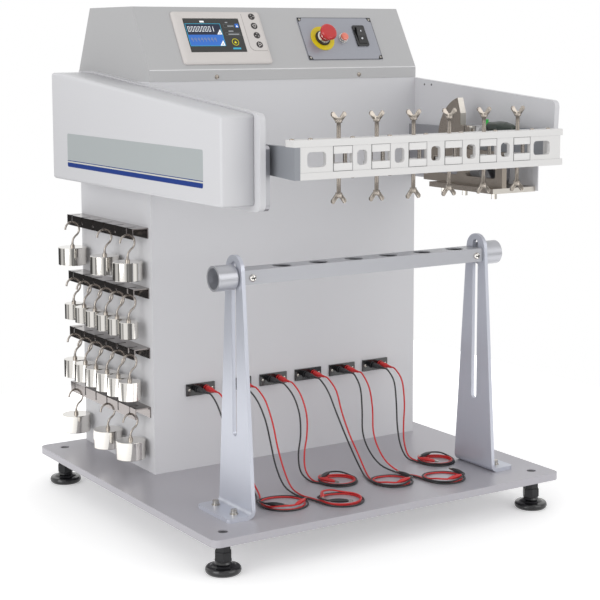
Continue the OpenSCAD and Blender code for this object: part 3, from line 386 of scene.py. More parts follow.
def glow(name, rgb, strength):
    """A lit mark on the screen."""
    material = finish(name, rgb, 0.35, 0.02)
    shader = material.node_tree.nodes["Principled BSDF"]
    shader.inputs["Emission Color"].default_value = linear(rgb)
    shader.inputs["Emission Strength"].default_value = strength
    return material


# How often a grain repeats along X, Y and Z
FINE = (900, 900, 900)
COARSE = (40, 40, 40)
ALONG_X = (18, 700, 700)
ALONG_Y = (400, 30, 400)
ALONG_Z = (700, 700, 18)
LATHED = (900, 60, 60)
MILLED = (60, 60, 300)


def make_finishes():
    """All the materials, by plain names."""
    c = bpy.context.scene.flex_colours
    FINISHES.update({
        "body": finish("Body powder coat", c.body, 0.42, 0.02, stretch=FINE, bump=0.06),
        "console": finish("Console powder coat", c.console, 0.42, 0.02, stretch=FINE, bump=0.06),
        "base": finish("Base plate satin", c.base, 0.36, 0.04, metallic=0.2, stretch=ALONG_X, bump=0.03),
        "upright": finish("Brushed upright", c.upright, 0.34, 0.05, metallic=0.45, stretch=ALONG_Z,
                          bump=0.04),
        "bar": finish("Anodised bar", c.bar, 0.36, 0.02, metallic=0.06, stretch=ALONG_X, bump=0.02),
        "jaw": finish("Anodised jaw", tone(230, 229, 228), 0.36, 0.03, metallic=0.1, stretch=ALONG_X),
        "wing_screw": finish("Nickel screw", tone(168, 160, 151), 0.26, 0.06, metallic=0.95),
        "nickel": finish("Satin nickel", c.nickel, 0.28, 0.05, metallic=0.85, stretch=ALONG_X),
        "steel": finish("Machined steel", c.steel, 0.3, 0.06, metallic=0.85, stretch=ALONG_X),
        "zinc": finish("Zinc bolt", tone(178, 174, 167), 0.2, 0.06, metallic=1.0),
        # Dark crosses on the tube screws: painted shade in their slots
        "slot_shade": finish("Slot painted shade", tone(60, 60, 62), 0.35, 0.06, metallic=0.8),
        "chrome": finish("Polished chrome", tone(224, 221, 216), 0.07, 0.02, metallic=1.0, spread=0.03),
        "hook": finish("Bright wire", tone(168, 161, 154), 0.2, 0.05, metallic=1.0),
        "rail": finish("Polished rail", tone(140, 134, 132), 0.13, 0.08, metallic=1.0, stretch=ALONG_Y,
                       spread=0.05),
        "alloy": finish("Drawn alloy", tone(182, 183, 188), 0.36, 0.05, metallic=0.45, stretch=ALONG_X,
                        bump=0.03),
        "turned": finish("Turned alloy", tone(184, 185, 190), 0.34, 0.05, metallic=0.6, stretch=LATHED),
        # Lighter milled metal, also standing in for the highlight on the faces turned to the front
        "milled_and_highlight": finish("Milled edge and painted highlight", tone(204, 199, 191), 0.3, 0.14, metallic=0.8, stretch=MILLED,
                         bump=0.12),
        "arm": finish("Satin arm", tone(146, 149, 155), 0.42, 0.04, metallic=0.15, stretch=ALONG_X),
        # The seam's darker tone is painted shade in the joints of the clamp bar
        "seam": finish("Seam painted shade", tone(168, 168, 170), 0.5, 0.03),
        # The fold's light tone is a painted highlight along the console's bend
        "fold": finish("Fold painted highlight", tone(228, 228, 229), 0.25, 0.02, coat=0.4),
        # The groove's darker tone is painted shade round the key field
        "bezel_line": finish("Bezel groove painted shade", tone(168, 163, 160), 0.5, 0.03),
        "cast": finish("Cast alloy", tone(186, 186, 188), 0.42, 0.08, metallic=0.5, stretch=FINE, bump=0.1),
        "motor": finish("Motor paint", c.motor, 0.35, 0.05, stretch=FINE, coat=0.3),
        "black": finish("Gloss black moulding", tone(22, 22, 24), 0.16, 0.1, coat=0.3),
        "black_matte": finish("Matte black moulding", tone(34, 34, 36), 0.5, 0.1, stretch=FINE, bump=0.05),
        "black_steel": finish("Black nut", tone(38, 38, 40), 0.3, 0.1, metallic=0.4),
        "bezel": finish("Bezel moulding", c.bezel, 0.45, 0.02, stretch=FINE, bump=0.03),
        "screen": finish("Screen glass", tone(40, 42, 41), 0.2, 0.05, coat=0.2),
        "panel": finish("Brushed panel", tone(160, 162, 170), 0.34, 0.06, metallic=0.4, stretch=ALONG_X,
                        bump=0.03),
        # Dark line: the printed line of the switch plate and the cover's seal, and painted shade in the jaw
        # gaps and the mouths of the wing's holes
        "edge_line": finish("Dark line", tone(62, 62, 66), 0.4, 0.05),
        "key": finish("Key cap", tone(52, 48, 48), 0.3, 0.1),
        "olive": finish("Anodised collar", tone(58, 50, 34), 0.3, 0.08, metallic=0.5),
        "yellow": finish("Legend yellow", c.yellow, 0.38, 0.03),
        "red": finish("Stop red", tone(196, 30, 32), 0.24, 0.03, coat=0.4),
        "lamp": finish("Lamp cap", c.lamp, 0.2, 0.05, coat=0.5),
        "belt": finish("Belt rubber", tone(30, 30, 32), 0.7, 0.1, stretch=FINE),
        "galvanised": finish("Galvanised sheet", tone(188, 190, 188), 0.4, 0.12, metallic=0.6, stretch=COARSE),
        "lead_red": finish("Red lead", c.red, 0.42, 0.05, coat=0.15),
        "lead_black": finish("Black lead", tone(30, 30, 33), 0.42, 0.08, coat=0.15),
        "green": finish("Green connector", tone(40, 190, 70), 0.35, 0.04),
        "label": finish("Label ground", c.label, 0.3, 0.02, coat=0.3),
        "stripe": finish("Label stripe", c.stripe, 0.3, 0.03, coat=0.3),
        "cream": finish("Label cream", tone(212, 212, 202), 0.35, 0.02),
    })
    for colour, rgb, strength in (
        ("navy", (6, 24, 54), 0.05),
        ("blue", (44, 104, 190), 0.25),
        # This white glow also lights the rocker's printed marks, where it is a painted glow
        ("white", (226, 230, 234), 0.5),
        ("grey", (150, 154, 158), 0.2),
        ("dim", (92, 94, 94), 0.1),
        ("yellow", (214, 206, 30), 0.3),
        ("cyan", (50, 160, 190), 0.25),
    ):
        FINISHES["lit_" + colour] = glow("Screen " + colour, tone(*rgb), strength)


NODE_FINISHES = {
    "body": "cabinet_shell rear_panel left_wing right_wing",
    "console": "console_shell",
    "base": "base_plate",
    "upright": "uprights",
    "bar": "clamp_rails window_plates",
    "nickel": "motor_bracket",
    "steel": "bearing_plates shaft_bearings swing_shafts swing_pulley encoder_pulley",
    "arm": "swing_arms",
    "zinc": "frame_bolts",
    "chrome": "hanging_weights",
    "hook": "weight_hooks guide_pins guide_bushes",
    "rail": "hook_rails",
    "alloy": "guide_tube",
    "turned": "left_knob right_knob",
    "motor": "drive_motor",
    "black": "foot_pads terminal_plates rocker_frame rocker",
    "black_matte": "angle_encoder",
    "black_steel": "foot_studs",
    "screen": "hmi_screen",
    "panel": "switch_plate",
    "red": "estop_button",
    "belt": "timing_belt",
    "galvanised": "electronics_plate",
}


def dress(node, material):
    """Gives a CAD node its finish, and leaves its mesh alone."""
    slot = NODES[node].material_slots[0]
    slot.link = "OBJECT"
    slot.material = material


# Stage

# Soft cards round the machine, as polished metal sees them: the turn as a share of a full one, and the tone
CARDS = [
    (0.0, 0.9), (0.02, 1.0), (0.115, 1.0), (0.14, 0.6), (0.158, 0.5), (0.164, 0.06), (0.172, 0.06),
    (0.18, 0.4), (0.2, 0.2), (0.28, 0.16), (0.302, 1.0), (0.362, 1.0), (0.385, 0.4), (0.5, 0.3),
    (0.55, 0.06), (0.85, 0.07), (0.885, 0.6), (0.945, 0.7), (0.962, 0.25), (0.978, 0.25), (1.0, 0.9),
]


def aim(place, target):
    back = (place - target).normalized()
    return Matrix.Translation(place) @ back.to_track_quat("Z", "Y").to_matrix().to_4x4()


# The camera's and the lights' places, the camera's turns in radians and the lights' sides in metres
CAMERA_PLACE = (-1775.9, -2832.5, 923.4)
CAMERA_YAW, CAMERA_PITCH, CAMERA_ROLL = 0.5663, 0.1294, -0.003
LIGHT_TARGET = (0, 0, 420)
KEY_PLACE, KEY_SIZE = (-3900, -1000, 1050), 2.4
FILL_PLACE, FILL_SIZE = (1500, -3500, 1700), 2.6

# How high the cards reach, as the Z of a direction; the floor's half side, its depth under the feet and where
# it turns white, in metres
CARDS_FADE = (0.02, 0.09)
FLOOR_HALF = 1.3
FLOOR_DROP = 0.0005
FLOOR_FADE = (0.5, 1.2)
FLOOR_GLOW = 0.32
WHITE = (1, 1, 1, 1)


def add_lights():
    """A key light from the left and a fill light from the right, for the Standard view."""
    scene = bpy.context.scene
    scene.view_settings.view_transform = "Standard"
    stage = scene.flex_stage
    for name, place, power, size in (
        ("Key", KEY_PLACE, stage.key, KEY_SIZE),
        ("Fill", FILL_PLACE, stage.fill, FILL_SIZE),
    ):
        lamp = bpy.data.lights.new(name, "AREA")
        lamp.energy = power
        lamp.size = size
        add_object(name, lamp).matrix_world = aim(deck(*place), deck(*LIGHT_TARGET))


def add_camera():
    """The camera, fitted to the photograph's viewpoint."""
    yaw, pitch, roll = CAMERA_YAW, CAMERA_PITCH, CAMERA_ROLL
    forward = Vector((math.sin(yaw) * math.cos(pitch), math.cos(yaw) * math.cos(pitch), -math.sin(pitch)))
    level = Vector((math.cos(yaw), -math.sin(yaw), 0))
    upward = level.cross(forward)
    right = level * math.cos(roll) + upward * math.sin(roll)
    up = upward * math.cos(roll) - level * math.sin(roll)
    lens = bpy.data.cameras.new("Camera")
    lens.lens = bpy.context.scene.flex_stage.lens
    lens.sensor_width = 36
    lens.shift_y = -0.1
    camera = add_object("Camera", lens)
    turn = Matrix((right, up, -forward)).transposed().to_4x4()
    camera.matrix_world = Matrix.Translation(deck(*CAMERA_PLACE)) @ turn
    bpy.context.scene.camera = camera


def backdrop_rays(tree):
    """One where the camera, glass or metal sees a surface, and nought where it only lights others."""
    path = add_node(tree, "LightPath").outputs
    seen = maths(tree, "MAXIMUM", path["Is Camera Ray"], path["Is Glossy Ray"])
    return maths(tree, "MAXIMUM", seen, path["Is Transmission Ray"])


def mix_values(tree, factor, low, high):
    """A value that runs from low to high with a factor."""
    return add_node(tree, "Mix", {0: factor, 2: low, 3: high}).outputs[0]


def soft_step(tree, value, low, high, start=0.0):
    """A value that rises softly from start to one, while another one goes from low to high."""
    given = {"Value": value, "From Min": low, "From Max": high, "To Min": start, "To Max": 1.0}
    return add_node(tree, "MapRange", given, interpolation_type="SMOOTHSTEP").outputs["Result"]


def add_surroundings():
    """White surroundings, with low dark cards in them that only polished metal sees."""
    world = bpy.data.worlds.new("Studio")
    world.use_nodes = True
    tree = world.node_tree
    place = add_node(tree, "TexCoord").outputs["Generated"]
    parts = add_node(tree, "SeparateXYZ", {0: place}).outputs
    turn = maths(tree, "ARCTAN2", parts["Y"], parts["X"])
    share = add_node(tree, "MapRange", {"Value": turn, "From Min": -math.pi, "From Max": math.pi})
    cards = add_node(tree, "ValToRGB", {"Fac": share.outputs["Result"]})
    ramp = cards.color_ramp
    ramp.interpolation = "EASE"
    for position, value in CARDS[1:-1]:
        ramp.elements.new(position)
    for element, (position, value) in zip(ramp.elements, CARDS):
        element.color = (value, value, value, 1)
    over = soft_step(tree, parts["Z"], *CARDS_FADE)
    standing = mix_values(tree, over, cards.outputs["Color"], 1.0)
    glossy = add_node(tree, "LightPath").outputs["Is Glossy Ray"]
    seen = mix_values(tree, glossy, 1.0, standing)
    level = mix_values(tree, backdrop_rays(tree), bpy.context.scene.flex_stage.sky, seen)
    feed(tree, tree.nodes["Background"].inputs, {"Color": WHITE, "Strength": level})
    bpy.context.scene.world = world


def add_floor():
    """A pale floor that keeps the machine's shadow and turns white away from it."""
    bm = bmesh.new()
    bmesh.ops.create_grid(bm, x_segments=1, y_segments=1, size=FLOOR_HALF, matrix=out_by(-FLOOR_DROP))
    mesh = bpy.data.meshes.new("Floor")
    bm.to_mesh(mesh)
    bm.free()
    material = bpy.data.materials.new("Pale floor")
    material.use_nodes = True
    tree = material.node_tree
    place = add_node(tree, "TexCoord").outputs["Object"]
    reach = add_node(tree, "VectorMath", {0: place}, operation="LENGTH").outputs["Value"]
    away = soft_step(tree, reach, *FLOOR_FADE, start=FLOOR_GLOW)
    feed(tree, tree.nodes["Principled BSDF"].inputs, {
        "Base Color": (0.92, 0.92, 0.92, 1), "Roughness": 0.6, "Specular IOR Level": 0.1,
        "Emission Color": WHITE, "Emission Strength": mix_values(tree, backdrop_rays(tree), 0.0, away),
    })
    mesh.materials.append(material)
    add_object("Floor", mesh)


# Leads

# Each coil: middle, outer radius and the directions of its black and its red clip
COILS = [
    (-194, -279, 52, -140, -60),
    (-84, -321, 49, -125, 150),
    (-15, -208, 43, 120, -160),
    (80, -270, 46, 5, -75),
    (187, -308, 47, 0, -80),
    (253, -196, 42, 110, -160),
]

# Routes from the plugs to the coils, in millimetres above the base plate, as in the CAD
BLACK_ROUTES = [
    [(-204, -34, 152), (-201, -60, 112), (-200, -105, 60), (-204, -160, 20),
     (-214, -205, 3), (-234, -244, 3), (-243, -276, 3)],
    [(-107, -36, 150), (-102, -60, 112), (-112, -98, 70), (-132, -150, 38),
     (-146, -205, 12), (-144, -250, 3), (-136, -290, 3), (-130, -318, 3)],
    [(-14, -34, 148), (-12, -54, 112), (-26, -80, 74), (-52, -112, 42),
     (-68, -146, 16), (-66, -178, 3), (-55, -206, 3)],
    [(75, -36, 148), (79, -62, 106), (77, -102, 62), (68, -150, 28),
     (56, -198, 5), (43, -236, 3), (37, -268, 3)],
    [(161, -36, 146), (148, -62, 104), (126, -96, 64), (112, -138, 36),
     (112, -182, 12), (124, -226, 3), (137, -268, 3), (142, -306, 3)],
    [(256, -34, 148), (245, -58, 104), (226, -88, 62), (208, -124, 30),
     (203, -154, 8), (209, -178, 3), (214, -194, 3)],
]
RED_ROUTES = [
    [(-184, -34, 154), (-184, -62, 116), (-188, -108, 62), (-196, -160, 22),
     (-207, -208, 3), (-228, -246, 3), (-239, -276, 3)],
    [(-88, -38, 148), (-90, -70, 106), (-104, -112, 66), (-122, -165, 34),
     (-135, -215, 10), (-136, -254, 3), (-129, -290, 3), (-126, -318, 3)],
    [(5, -34, 148), (5, -56, 110), (-11, -82, 74), (-38, -114, 44),
     (-56, -146, 18), (-58, -176, 3), (-51, -206, 3)],
    [(95, -38, 148), (91, -66, 106), (84, -106, 66), (76, -152, 32),
     (64, -198, 6), (49, -236, 3), (41, -268, 3)],
    [(184, -38, 144), (172, -68, 104), (146, -108, 66), (128, -152, 40),
     (121, -196, 18), (131, -236, 3), (143, -268, 3), (147, -306, 3)],
    [(278, -34, 148), (266, -60, 104), (242, -90, 64), (220, -122, 34),
     (211, -150, 10), (215, -174, 3), (218, -194, 3)],
]


def socket_x(station, side):
    """Side is -1 for the black socket and 1 for the red one."""
    return FIRST_TERMINAL_X + station * TERMINAL_PITCH + SOCKET_SHIFT + side * SOCKET_SPREAD


def smooth(points, steps):
    """A smooth curve through points, with so many steps between two of them."""
    path = []
    for i in range(len(points) - 1):
        a, b, c, d = (Vector(points[min(max(i + k, 0), len(points) - 1)]) for k in (-1, 0, 1, 2))
        for s in range(steps):
            t = s / steps
            square, cube = 2 * a - 5 * b + 4 * c - d, 3 * b - a - 3 * c + d
            path.append(0.5 * (2 * b + (c - a) * t + square * t * t + cube * t ** 3))
    return path + [Vector(points[-1])]


# How far inside a coil's outer radius the black and the red lead run, on the lower and on the upper turn
LANES = ((1.7, 3.3), (8.3, 7.0))
LYING = 1.7
TURN_RISE = 3.5
CLIP_HEIGHT = 11


def ease(t):
    t = min(max(t, 0.0), 1.0)
    return t * t * (3 - 2 * t)


def coil_path(coil, start, lane, clip_turn, turns):
    """The turns of a lead in its coil, from the route's last point to the tail of its clip."""
    x, y, outer = coil[:3]
    arm = Vector((start.x - x, start.y - y))
    first = math.degrees(math.atan2(arm.y, arm.x))
    clip_radius = outer - COIL_BAND - 2
    tail = clip_turn - math.degrees(math.atan2(CLIP_LEN / 2, clip_radius))
    tail_radius = math.hypot(clip_radius, CLIP_LEN / 2)
    sweep = (tail - first) % 360 + 360 * (turns - 1)
    lower, upper = (outer - inset for inset in LANES[lane])
    steps = int(sweep / 9)
    path = []
    for k in range(1, steps + 1):
        turned_by = sweep * k / steps
        angle = math.radians(first + turned_by)
        climb = ease((turned_by - 250) / 110)
        radius = lower + (upper - lower) * climb
        radius += (arm.length - lower) * (1 - ease(turned_by / 70))
        height = start.z + (LYING - start.z) * ease(turned_by / 60) + TURN_RISE * climb
        leave = ease((turned_by - sweep + 60) / 60)
        radius += (tail_radius - radius) * leave
        height += (CLIP_HEIGHT - height) * ease((turned_by - sweep + 75) / 55)
        radius += 0.5 * math.sin(math.radians(3 * (first + turned_by)) + lane)
        path.append(Vector((x + radius * math.cos(angle), y + radius * math.sin(angle), height)))
    return path


def add_lead(name, look, station, side):
    """One test lead as a curve, and the line it follows."""
    sizes = bpy.context.scene.flex_sizes
    coil = COILS[station]
    route = (BLACK_ROUTES if side < 0 else RED_ROUTES)[station]
    start_x = socket_x(station, side)
    plug_end = SOCKET_FACE_Y - PLUG_LEN
    points = [(start_x, plug_end, TERMINAL_Z), (start_x + 0.5, plug_end - 16, TERMINAL_Z - 2), *route]
    lane = 0 if side < 0 else 1
    path = smooth(points, 4)
    path += coil_path(coil, path[-1], lane, coil[3 + lane], sizes.turns)
    path = [deck(*p) for p in path]
    curve = bpy.data.curves.new(name, "CURVE")
    curve.dimensions = "3D"
    curve.bevel_depth = sizes.lead / 2
    curve.bevel_resolution = 3
    curve.use_fill_caps = True
    spline = curve.splines.new("POLY")
    spline.points.add(len(path) - 1)
    for point, place in zip(spline.points, path):
        point.co = (*place, 1)
    curve.materials.append(FINISHES[look])
    lead = add_object(name, curve)
    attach(lead, MACHINE)
    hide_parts("test_leads", "lead_coils")
    return lead, path


def add_plug(name, look, station, side):
    """A stackable plug: ribbed grip, neck and strain relief."""
    frame = facing_front(socket_x(station, side), SOCKET_FACE_Y, TERMINAL_Z)
    profile = [(0, 0), (5.2, 0), (5.9, 0.8), (5.9, 4.5)]
    for rib in range(6):
        foot = 5.2 + 2.3 * rib
        profile += [(5.2, foot), (5.2, foot + 0.8), (5.8, foot + 1.2), (5.8, foot + 1.9)]
    profile += [(5.0, 20), (4.2, 21), (4.2, 26), (3.2, 28), (2.9, 33), (2.4, 39.6)]
    profile += [(2.2, PLUG_LEN), (0, PLUG_LEN)]
    bm = bmesh.new()
    turned(bm, profile, frame, 28)
    return finish_piece(bm, name, look, replaces=["lead_plugs"])


def add_clip(name, look, station, lane):
    """A small crocodile clip: a rubber boot and two jaws with teeth."""
    x, y, outer = COILS[station][:3]
    angle = math.radians(COILS[station][3 + lane])
    reach = outer - COIL_BAND - 2
    frame = at_deck(x + reach * math.cos(angle), y + reach * math.sin(angle), CLIP_HEIGHT)
    frame = frame @ Matrix.Rotation(angle + math.radians(90), 4, "Z") @ about("Y", 90)
    boot = bmesh.new()
    profile = [(0, -26), (2.3, -26), (2.6, -23), (3.2, -20), (4.2, -16), (5.2, -9), (5.5, -2), (5.1, 5)]
    profile += [(4.2, 12), (3.4, 16), (2.6, 17), (0, 17)]
    turned(boot, profile, frame @ Matrix.Diagonal((0.8, 1.0, 1, 1)), 24)
    jaws = bmesh.new()
    for way in (-1, 1):
        outline = [(way * 0.4, 14), (way * 2.6, 14), (way * 2.2, 20), (way * 1.4, 25), (way * 0.5, 26)]
        outline += [(way * (0.3 + 0.5 * (k % 2)), 25 - 1.3 * k) for k in range(8)]
        turn = frame @ about("X", 90)
        slab(jaws, outline, -1.9, 1.9, turn @ Matrix.Scale(-1, 4, (0, 0, 1)) if way > 0 else turn)
    return (
        finish_piece(boot, name, look, replaces=["lead_clips"]),
        finish_piece(jaws, name + "_jaws", "zinc", smooth=False),
    )


def add_leads():
    for station in range(STATIONS):
        for lane, colour in enumerate(("black", "red")):
            number = f"{colour}_{station + 1}"
            look = "lead_" + colour
            side = 2 * lane - 1
            lead, path = add_lead(f"lead_{number}", look, station, side)
            plug = add_plug(f"plug_{number}", look, station, side)
            boot, jaws = add_clip(f"clip_{number}", look, station, lane)


# Console

HMI_X, HMI_S = -118.5, 76
HMI_W, HMI_H = 218, 128
SCREEN_DX, SCREEN_DS = -17, 5
SCREEN_W, SCREEN_H = 135.4, 81.4
SCREEN_OUT = 6.05
BEZEL_OUT = 7

# Outlines of the panel's housing and of its screen recess: how much smaller or wider, corner radius, height
HOUSING_RIMS = (
    (20, 3, -38), (20, 3, 0), (0.6, 7, 0), (0, 7, 1), (0, 7, 3.4), (2, 6.5, 4.6), (11, 4, 6.6),
    (14, 3, BEZEL_OUT),
)
RECESS_RIMS = ((7, 2.5, BEZEL_OUT), (1.4, 1, BEZEL_OUT - 1.2), (0.8, 1, 3.9))

KEY_DX = 86
KEY_TOP, KEY_PITCH = 50, 23.3
SWITCH_X, SWITCH_S = 187, 74
SWITCH_W, SWITCH_H = 199, 108
SWITCH_OUT = 2
ESTOP_X = SWITCH_X - 48
LAMP_X = SWITCH_X + 7
ROCKER_X, ROCKER_S = SWITCH_X + 57, SWITCH_S + 6
ROCKER_TILT = 9


def add_bezel():
    """The operator panel's housing: stepped rim, screen recess and a raised field for the keys."""
    face = on_slope(HMI_X, HMI_S)
    bm = bmesh.new()
    rims = [(rounded_outline(HMI_W - inset, HMI_H - inset, radius), height, (0, 0))
            for inset, radius, height in HOUSING_RIMS]
    rims += [(rounded_outline(SCREEN_W + rim, SCREEN_H + rim, radius), height, (SCREEN_DX, SCREEN_DS))
             for rim, radius, height in RECESS_RIMS]
    loft(bm, rims, face)
    finish_piece(bm, "panel_housing", "bezel", replaces=["hmi_bezel"])
    field = bmesh.new()
    left, right, top, foot, bend = 61.5, 102, 56.5, -34, 13
    outline = [(right, foot), (right, top), (left, top), (left, foot + bend)]
    for k in range(1, 7):
        a = math.radians(180 + 15 * k)
        outline.append((left + bend + bend * math.cos(a), foot + bend + bend * math.sin(a)))
    slab(field, outline, 0, 0.45, face @ out_by(BEZEL_OUT - 0.05))
    finish_piece(field, "key_field", "bezel", bevel=0.2)
    # A slightly larger, darker slab under the key field shows as a thin line round it: painted shade in the
    # groove at the field's edge
    groove = bmesh.new()
    slab(groove, [(x - 1.1 * (x < 80), y - 1.1 * (y < 0)) for x, y in outline], 0, 0.2,
         face @ out_by(BEZEL_OUT - 0.05))
    finish_piece(groove, "key_field_groove_shade", "bezel_line")


def add_screen_picture():
    """Plain fields, symbols and numbers on the display."""
    face = on_slope(HMI_X + SCREEN_DX, HMI_S + SCREEN_DS, SCREEN_OUT)
    above, high = face @ out_by(0.2), face @ out_by(0.45)
    left, right, top, split, foot = -66, 19, 27.7, 0.8, -26.5
    middle, width = (left + right) / 2, right - left
    names = {
        "navy": "count_field",
        "blue": "limit_field",
        "cyan": "display_lines",
        "white": "display_numbers",
        "grey": "display_limits",
        "dim": "display_boxes",
        "yellow": "display_symbol",
    }
    navy, blue, cyan, white, grey, dim, yellow = parts = [bmesh.new() for colour in names]
    mark(navy, middle, (top + split) / 2, width, top - split, face)
    mark(blue, middle, (split + foot) / 2, width, split - foot, face)
    hollow_mark(cyan, middle, (top + foot) / 2, width + 1, top - foot + 1, 1.1, above)
    for low in (split + 0.6, foot + 0.6):
        slab(white, [(right - 13, low), (right - 1, low), (right - 3, low + 13)], 0, 0.15, above)
        slab(grey, [(right - 8.5, low + 2), (right - 3.5, low + 2), (right - 5, low + 6.5)], 0, 0.1, high)
    for k in range(7):
        hollow_mark(white, -59.5 + 8.3 * k, 14.5, 5.2, 12.5, 0.95, high)
    mark(white, -0.6, 14.5, 1.3, 12.5, high)
    for k in range(8):
        hollow_mark(grey, -58.5 + 8 * k, -9.6, 4.2, 5, 0.9, high)
        mark(grey, -56.85 + 8 * k, -14.2, 0.9, 4.4, high)
    mark(white, -23.5, 33, 10, 4, face)
    mark(grey, 36, 31, 6, 2.4, face)
    hollow_mark(dim, 40, 22.5, 27, 9, 0.7, face)
    mark(grey, 44, 22, 15, 2.6, above)
    mark(grey, 42, 9.5, 12, 2.6, face)
    hollow_mark(dim, 45, 2.2, 37, 8.6, 0.7, face)
    mark(grey, 47, 1.8, 27, 2.6, above)
    mark(blue, 60, 23, 9, 9.5, above)
    slab(white, [(57.5, 19.4), (62.8, 19.4), (60, 24.5)], 0, 0.1, high)
    ring(yellow, 7.3, 8.4, 0, 0.2, high @ Matrix.Translation((45, -17.6, 0)), 32)
    slab(yellow, [(41.5, -20.5), (48.5, -20.5), (45, -14)], 0, 0.2, high)
    mark(cyan, 45, -33, 19.5, 4.2, face)
    for bm, (colour, name) in zip(parts, names.items()):
        finish_piece(bm, name, "lit_" + colour, smooth=colour not in ("white", "grey"))


def add_keys():
    """Four round membrane keys beside the display, each with a light mark of its own."""
    keys = bmesh.new()
    symbols = bmesh.new()
    for k in range(4):
        face = on_slope(HMI_X + KEY_DX, HMI_S + KEY_TOP - KEY_PITCH * k, BEZEL_OUT + 0.3)
        turned(keys, [(0, 0.02), (7.9, 0.02), (7.9, 0.5), (7.2, 0.9), (0, 1.1)], face, 36)
        lift = face @ out_by(1.0)
        if k % 2:
            ring(symbols, 2.4, 3.6, 0, 0.2, lift, 20)
        for turn in range(3):
            arm = lift @ about("Z", 120 * turn + 40 * k)
            mark(symbols, 4.2, 0, 2.8, 1.4, arm, 0.2)
    finish_piece(keys, "panel_keys", "key")
    finish_piece(symbols, "key_symbols", "bezel")


def add_switch_plate_trim():
    """The printed line, dark corners and screws of the switch plate."""
    face = on_slope(SWITCH_X, SWITCH_S, SWITCH_OUT)
    line = bmesh.new()
    hollow_mark(line, 0, 0, SWITCH_W - 0.6, SWITCH_H - 0.6, 0.9, face, 0.12)
    finish_piece(line, "switch_plate_line", "edge_line")
    corners = bmesh.new()
    screws = bmesh.new()
    profile = [(0, 0), (2.8, 0), (2.7, 0.7), (1.8, 1.5), (1.1, 1.6), (1.1, 0.9), (0, 0.9)]
    for sx in (-1, 1):
        for sy in (-1, 1):
            x, y = sx * (SWITCH_W / 2 - 0.6), sy * (SWITCH_H / 2 - 0.6)
            outline = [(x - sx * a, y - sy * b) for a, b in ((0, 0), (11, 0), (9, 5), (5, 9), (0, 11))]
            slab(corners, outline, 0, 0.4, face)
            spot = face @ Matrix.Translation((sx * (SWITCH_W / 2 - 5.5), sy * (SWITCH_H / 2 - 5.5), 0.3))
            turned(screws, profile, spot, 24)
    finish_piece(corners, "switch_plate_corners", "black_matte")
    finish_piece(screws, "switch_plate_screws", "zinc")


def add_stop_parts():
    """Legend disc, dark collar and chrome neck under the stop button."""
    face = on_slope(ESTOP_X, SWITCH_S, SWITCH_OUT)
    legend = bmesh.new()
    ring(legend, 12, 30, 0, 1.6, face, 72)
    finish_piece(legend, "stop_legend", "yellow", replaces=["estop_base"], bevel=0.4)
    collar = bmesh.new()
    turned(collar, [(0, 0.5), (18.6, 0.5), (18.6, 3.4), (17.6, 4.6), (15.2, 5.4), (15.2, 4), (0, 4)], face, 64)
    finish_piece(collar, "stop_collar", "olive")
    neck = bmesh.new()
    profile = [(9.3, 1), (14.4, 1), (15, 5.2), (15, 7.4), (13.8, 8.6), (13.8, 10), (13, 10.7), (9.3, 10.7)]
    turned(neck, profile, face, 64, closed=True)
    finish_piece(neck, "stop_neck", "chrome")


def add_lamp_parts():
    """Chrome ring and cap of the pilot lamp."""
    face = on_slope(LAMP_X, SWITCH_S, SWITCH_OUT)
    base = bmesh.new()
    ring(base, 8.4, 11.2, 0, 2.2, face, 48)
    ring(base, 8.4, 10.2, 2.2, 7.6, face, 48)
    finish_piece(base, "lamp_ring", "chrome", replaces=["pilot_lamp"], bevel=0.5)
    cap = bmesh.new()
    turned(cap, [(0, 0), (9.2, 0), (9.2, 10), (8.6, 11.6), (7, 12.4), (3.5, 12.9), (0, 13)], face, 40)
    finish_piece(cap, "lamp_cap", "lamp")


def add_rocker_marks():
    """Two small white marks on the rocker, which tilt with it; they glow in the screen's lit white, a painted
    glow, as the rocker is no lamp.
    """
    face = on_slope(ROCKER_X, ROCKER_S) @ about("X", ROCKER_TILT)
    marks = bmesh.new()
    mark(marks, 0, 11, 1.4, 4, face @ out_by(8.0), 0.25)
    ring(marks, 1.2, 2.1, 0, 0.25, face @ Matrix.Translation((0, -7, 7.85)), 20)
    finish_piece(marks, "rocker_marks_glowing", "lit_white", body="power_rocker")


LIP_Y = 48.5
LIP_SCREW_Z = 843
LIP_SCREWS_X = (-152, 214)


def button_head(bm, spot, radius, sides=28):
    """A domed screw head with a socket sunk in its middle."""
    turned(bm, [(0, 0), (radius, 0), (radius * 0.96, radius * 0.22), (radius * 0.7, radius * 0.46),
                (radius * 0.42, radius * 0.52), (radius * 0.38, radius * 0.2), (0, radius * 0.2)], spot, sides)


def add_lip_screws():
    screws = bmesh.new()
    for x in LIP_SCREWS_X:
        button_head(screws, facing_front(x, LIP_Y, LIP_SCREW_Z), 5)
    finish_piece(screws, "lip_screws", "wing_screw")


def add_fold():
    """The round fold between the console's slope and its lip, in a tone lighter than the console's that paints
    the highlight along the bend.
    """
    fold = bmesh.new()
    along = about("Y", 90)
    rod(fold, 1.5, -311.5, 371.5, at_deck(0, SLOPE_FOOT_Y + 0.7, SLOPE_FOOT_Z + 0.2) @ along)
    finish_piece(fold, "console_fold_highlight", "fold")


# Wings

COVER_X = -394
COVER_ROOT_X = -324
COVER_PROFILE = [(-393, 617), (-393, 785.5), (306, 850), (365, 850), (365, 617)]
WING_FACE_X = 372
WING_HOLES_Y, WING_HOLES_Z = (14, -12), 818.5

# The cover's rounding and its wall, in metres
COVER_EDGE, COVER_WALL = 0.0065, 0.003

# Y runs along a frame's X, Z along its Y, and X along its Z
SIDEWAYS = Matrix(((0, 0, 1, 0), (1, 0, 0, 0), (0, 1, 0, 0), (0, 0, 0, 1)))


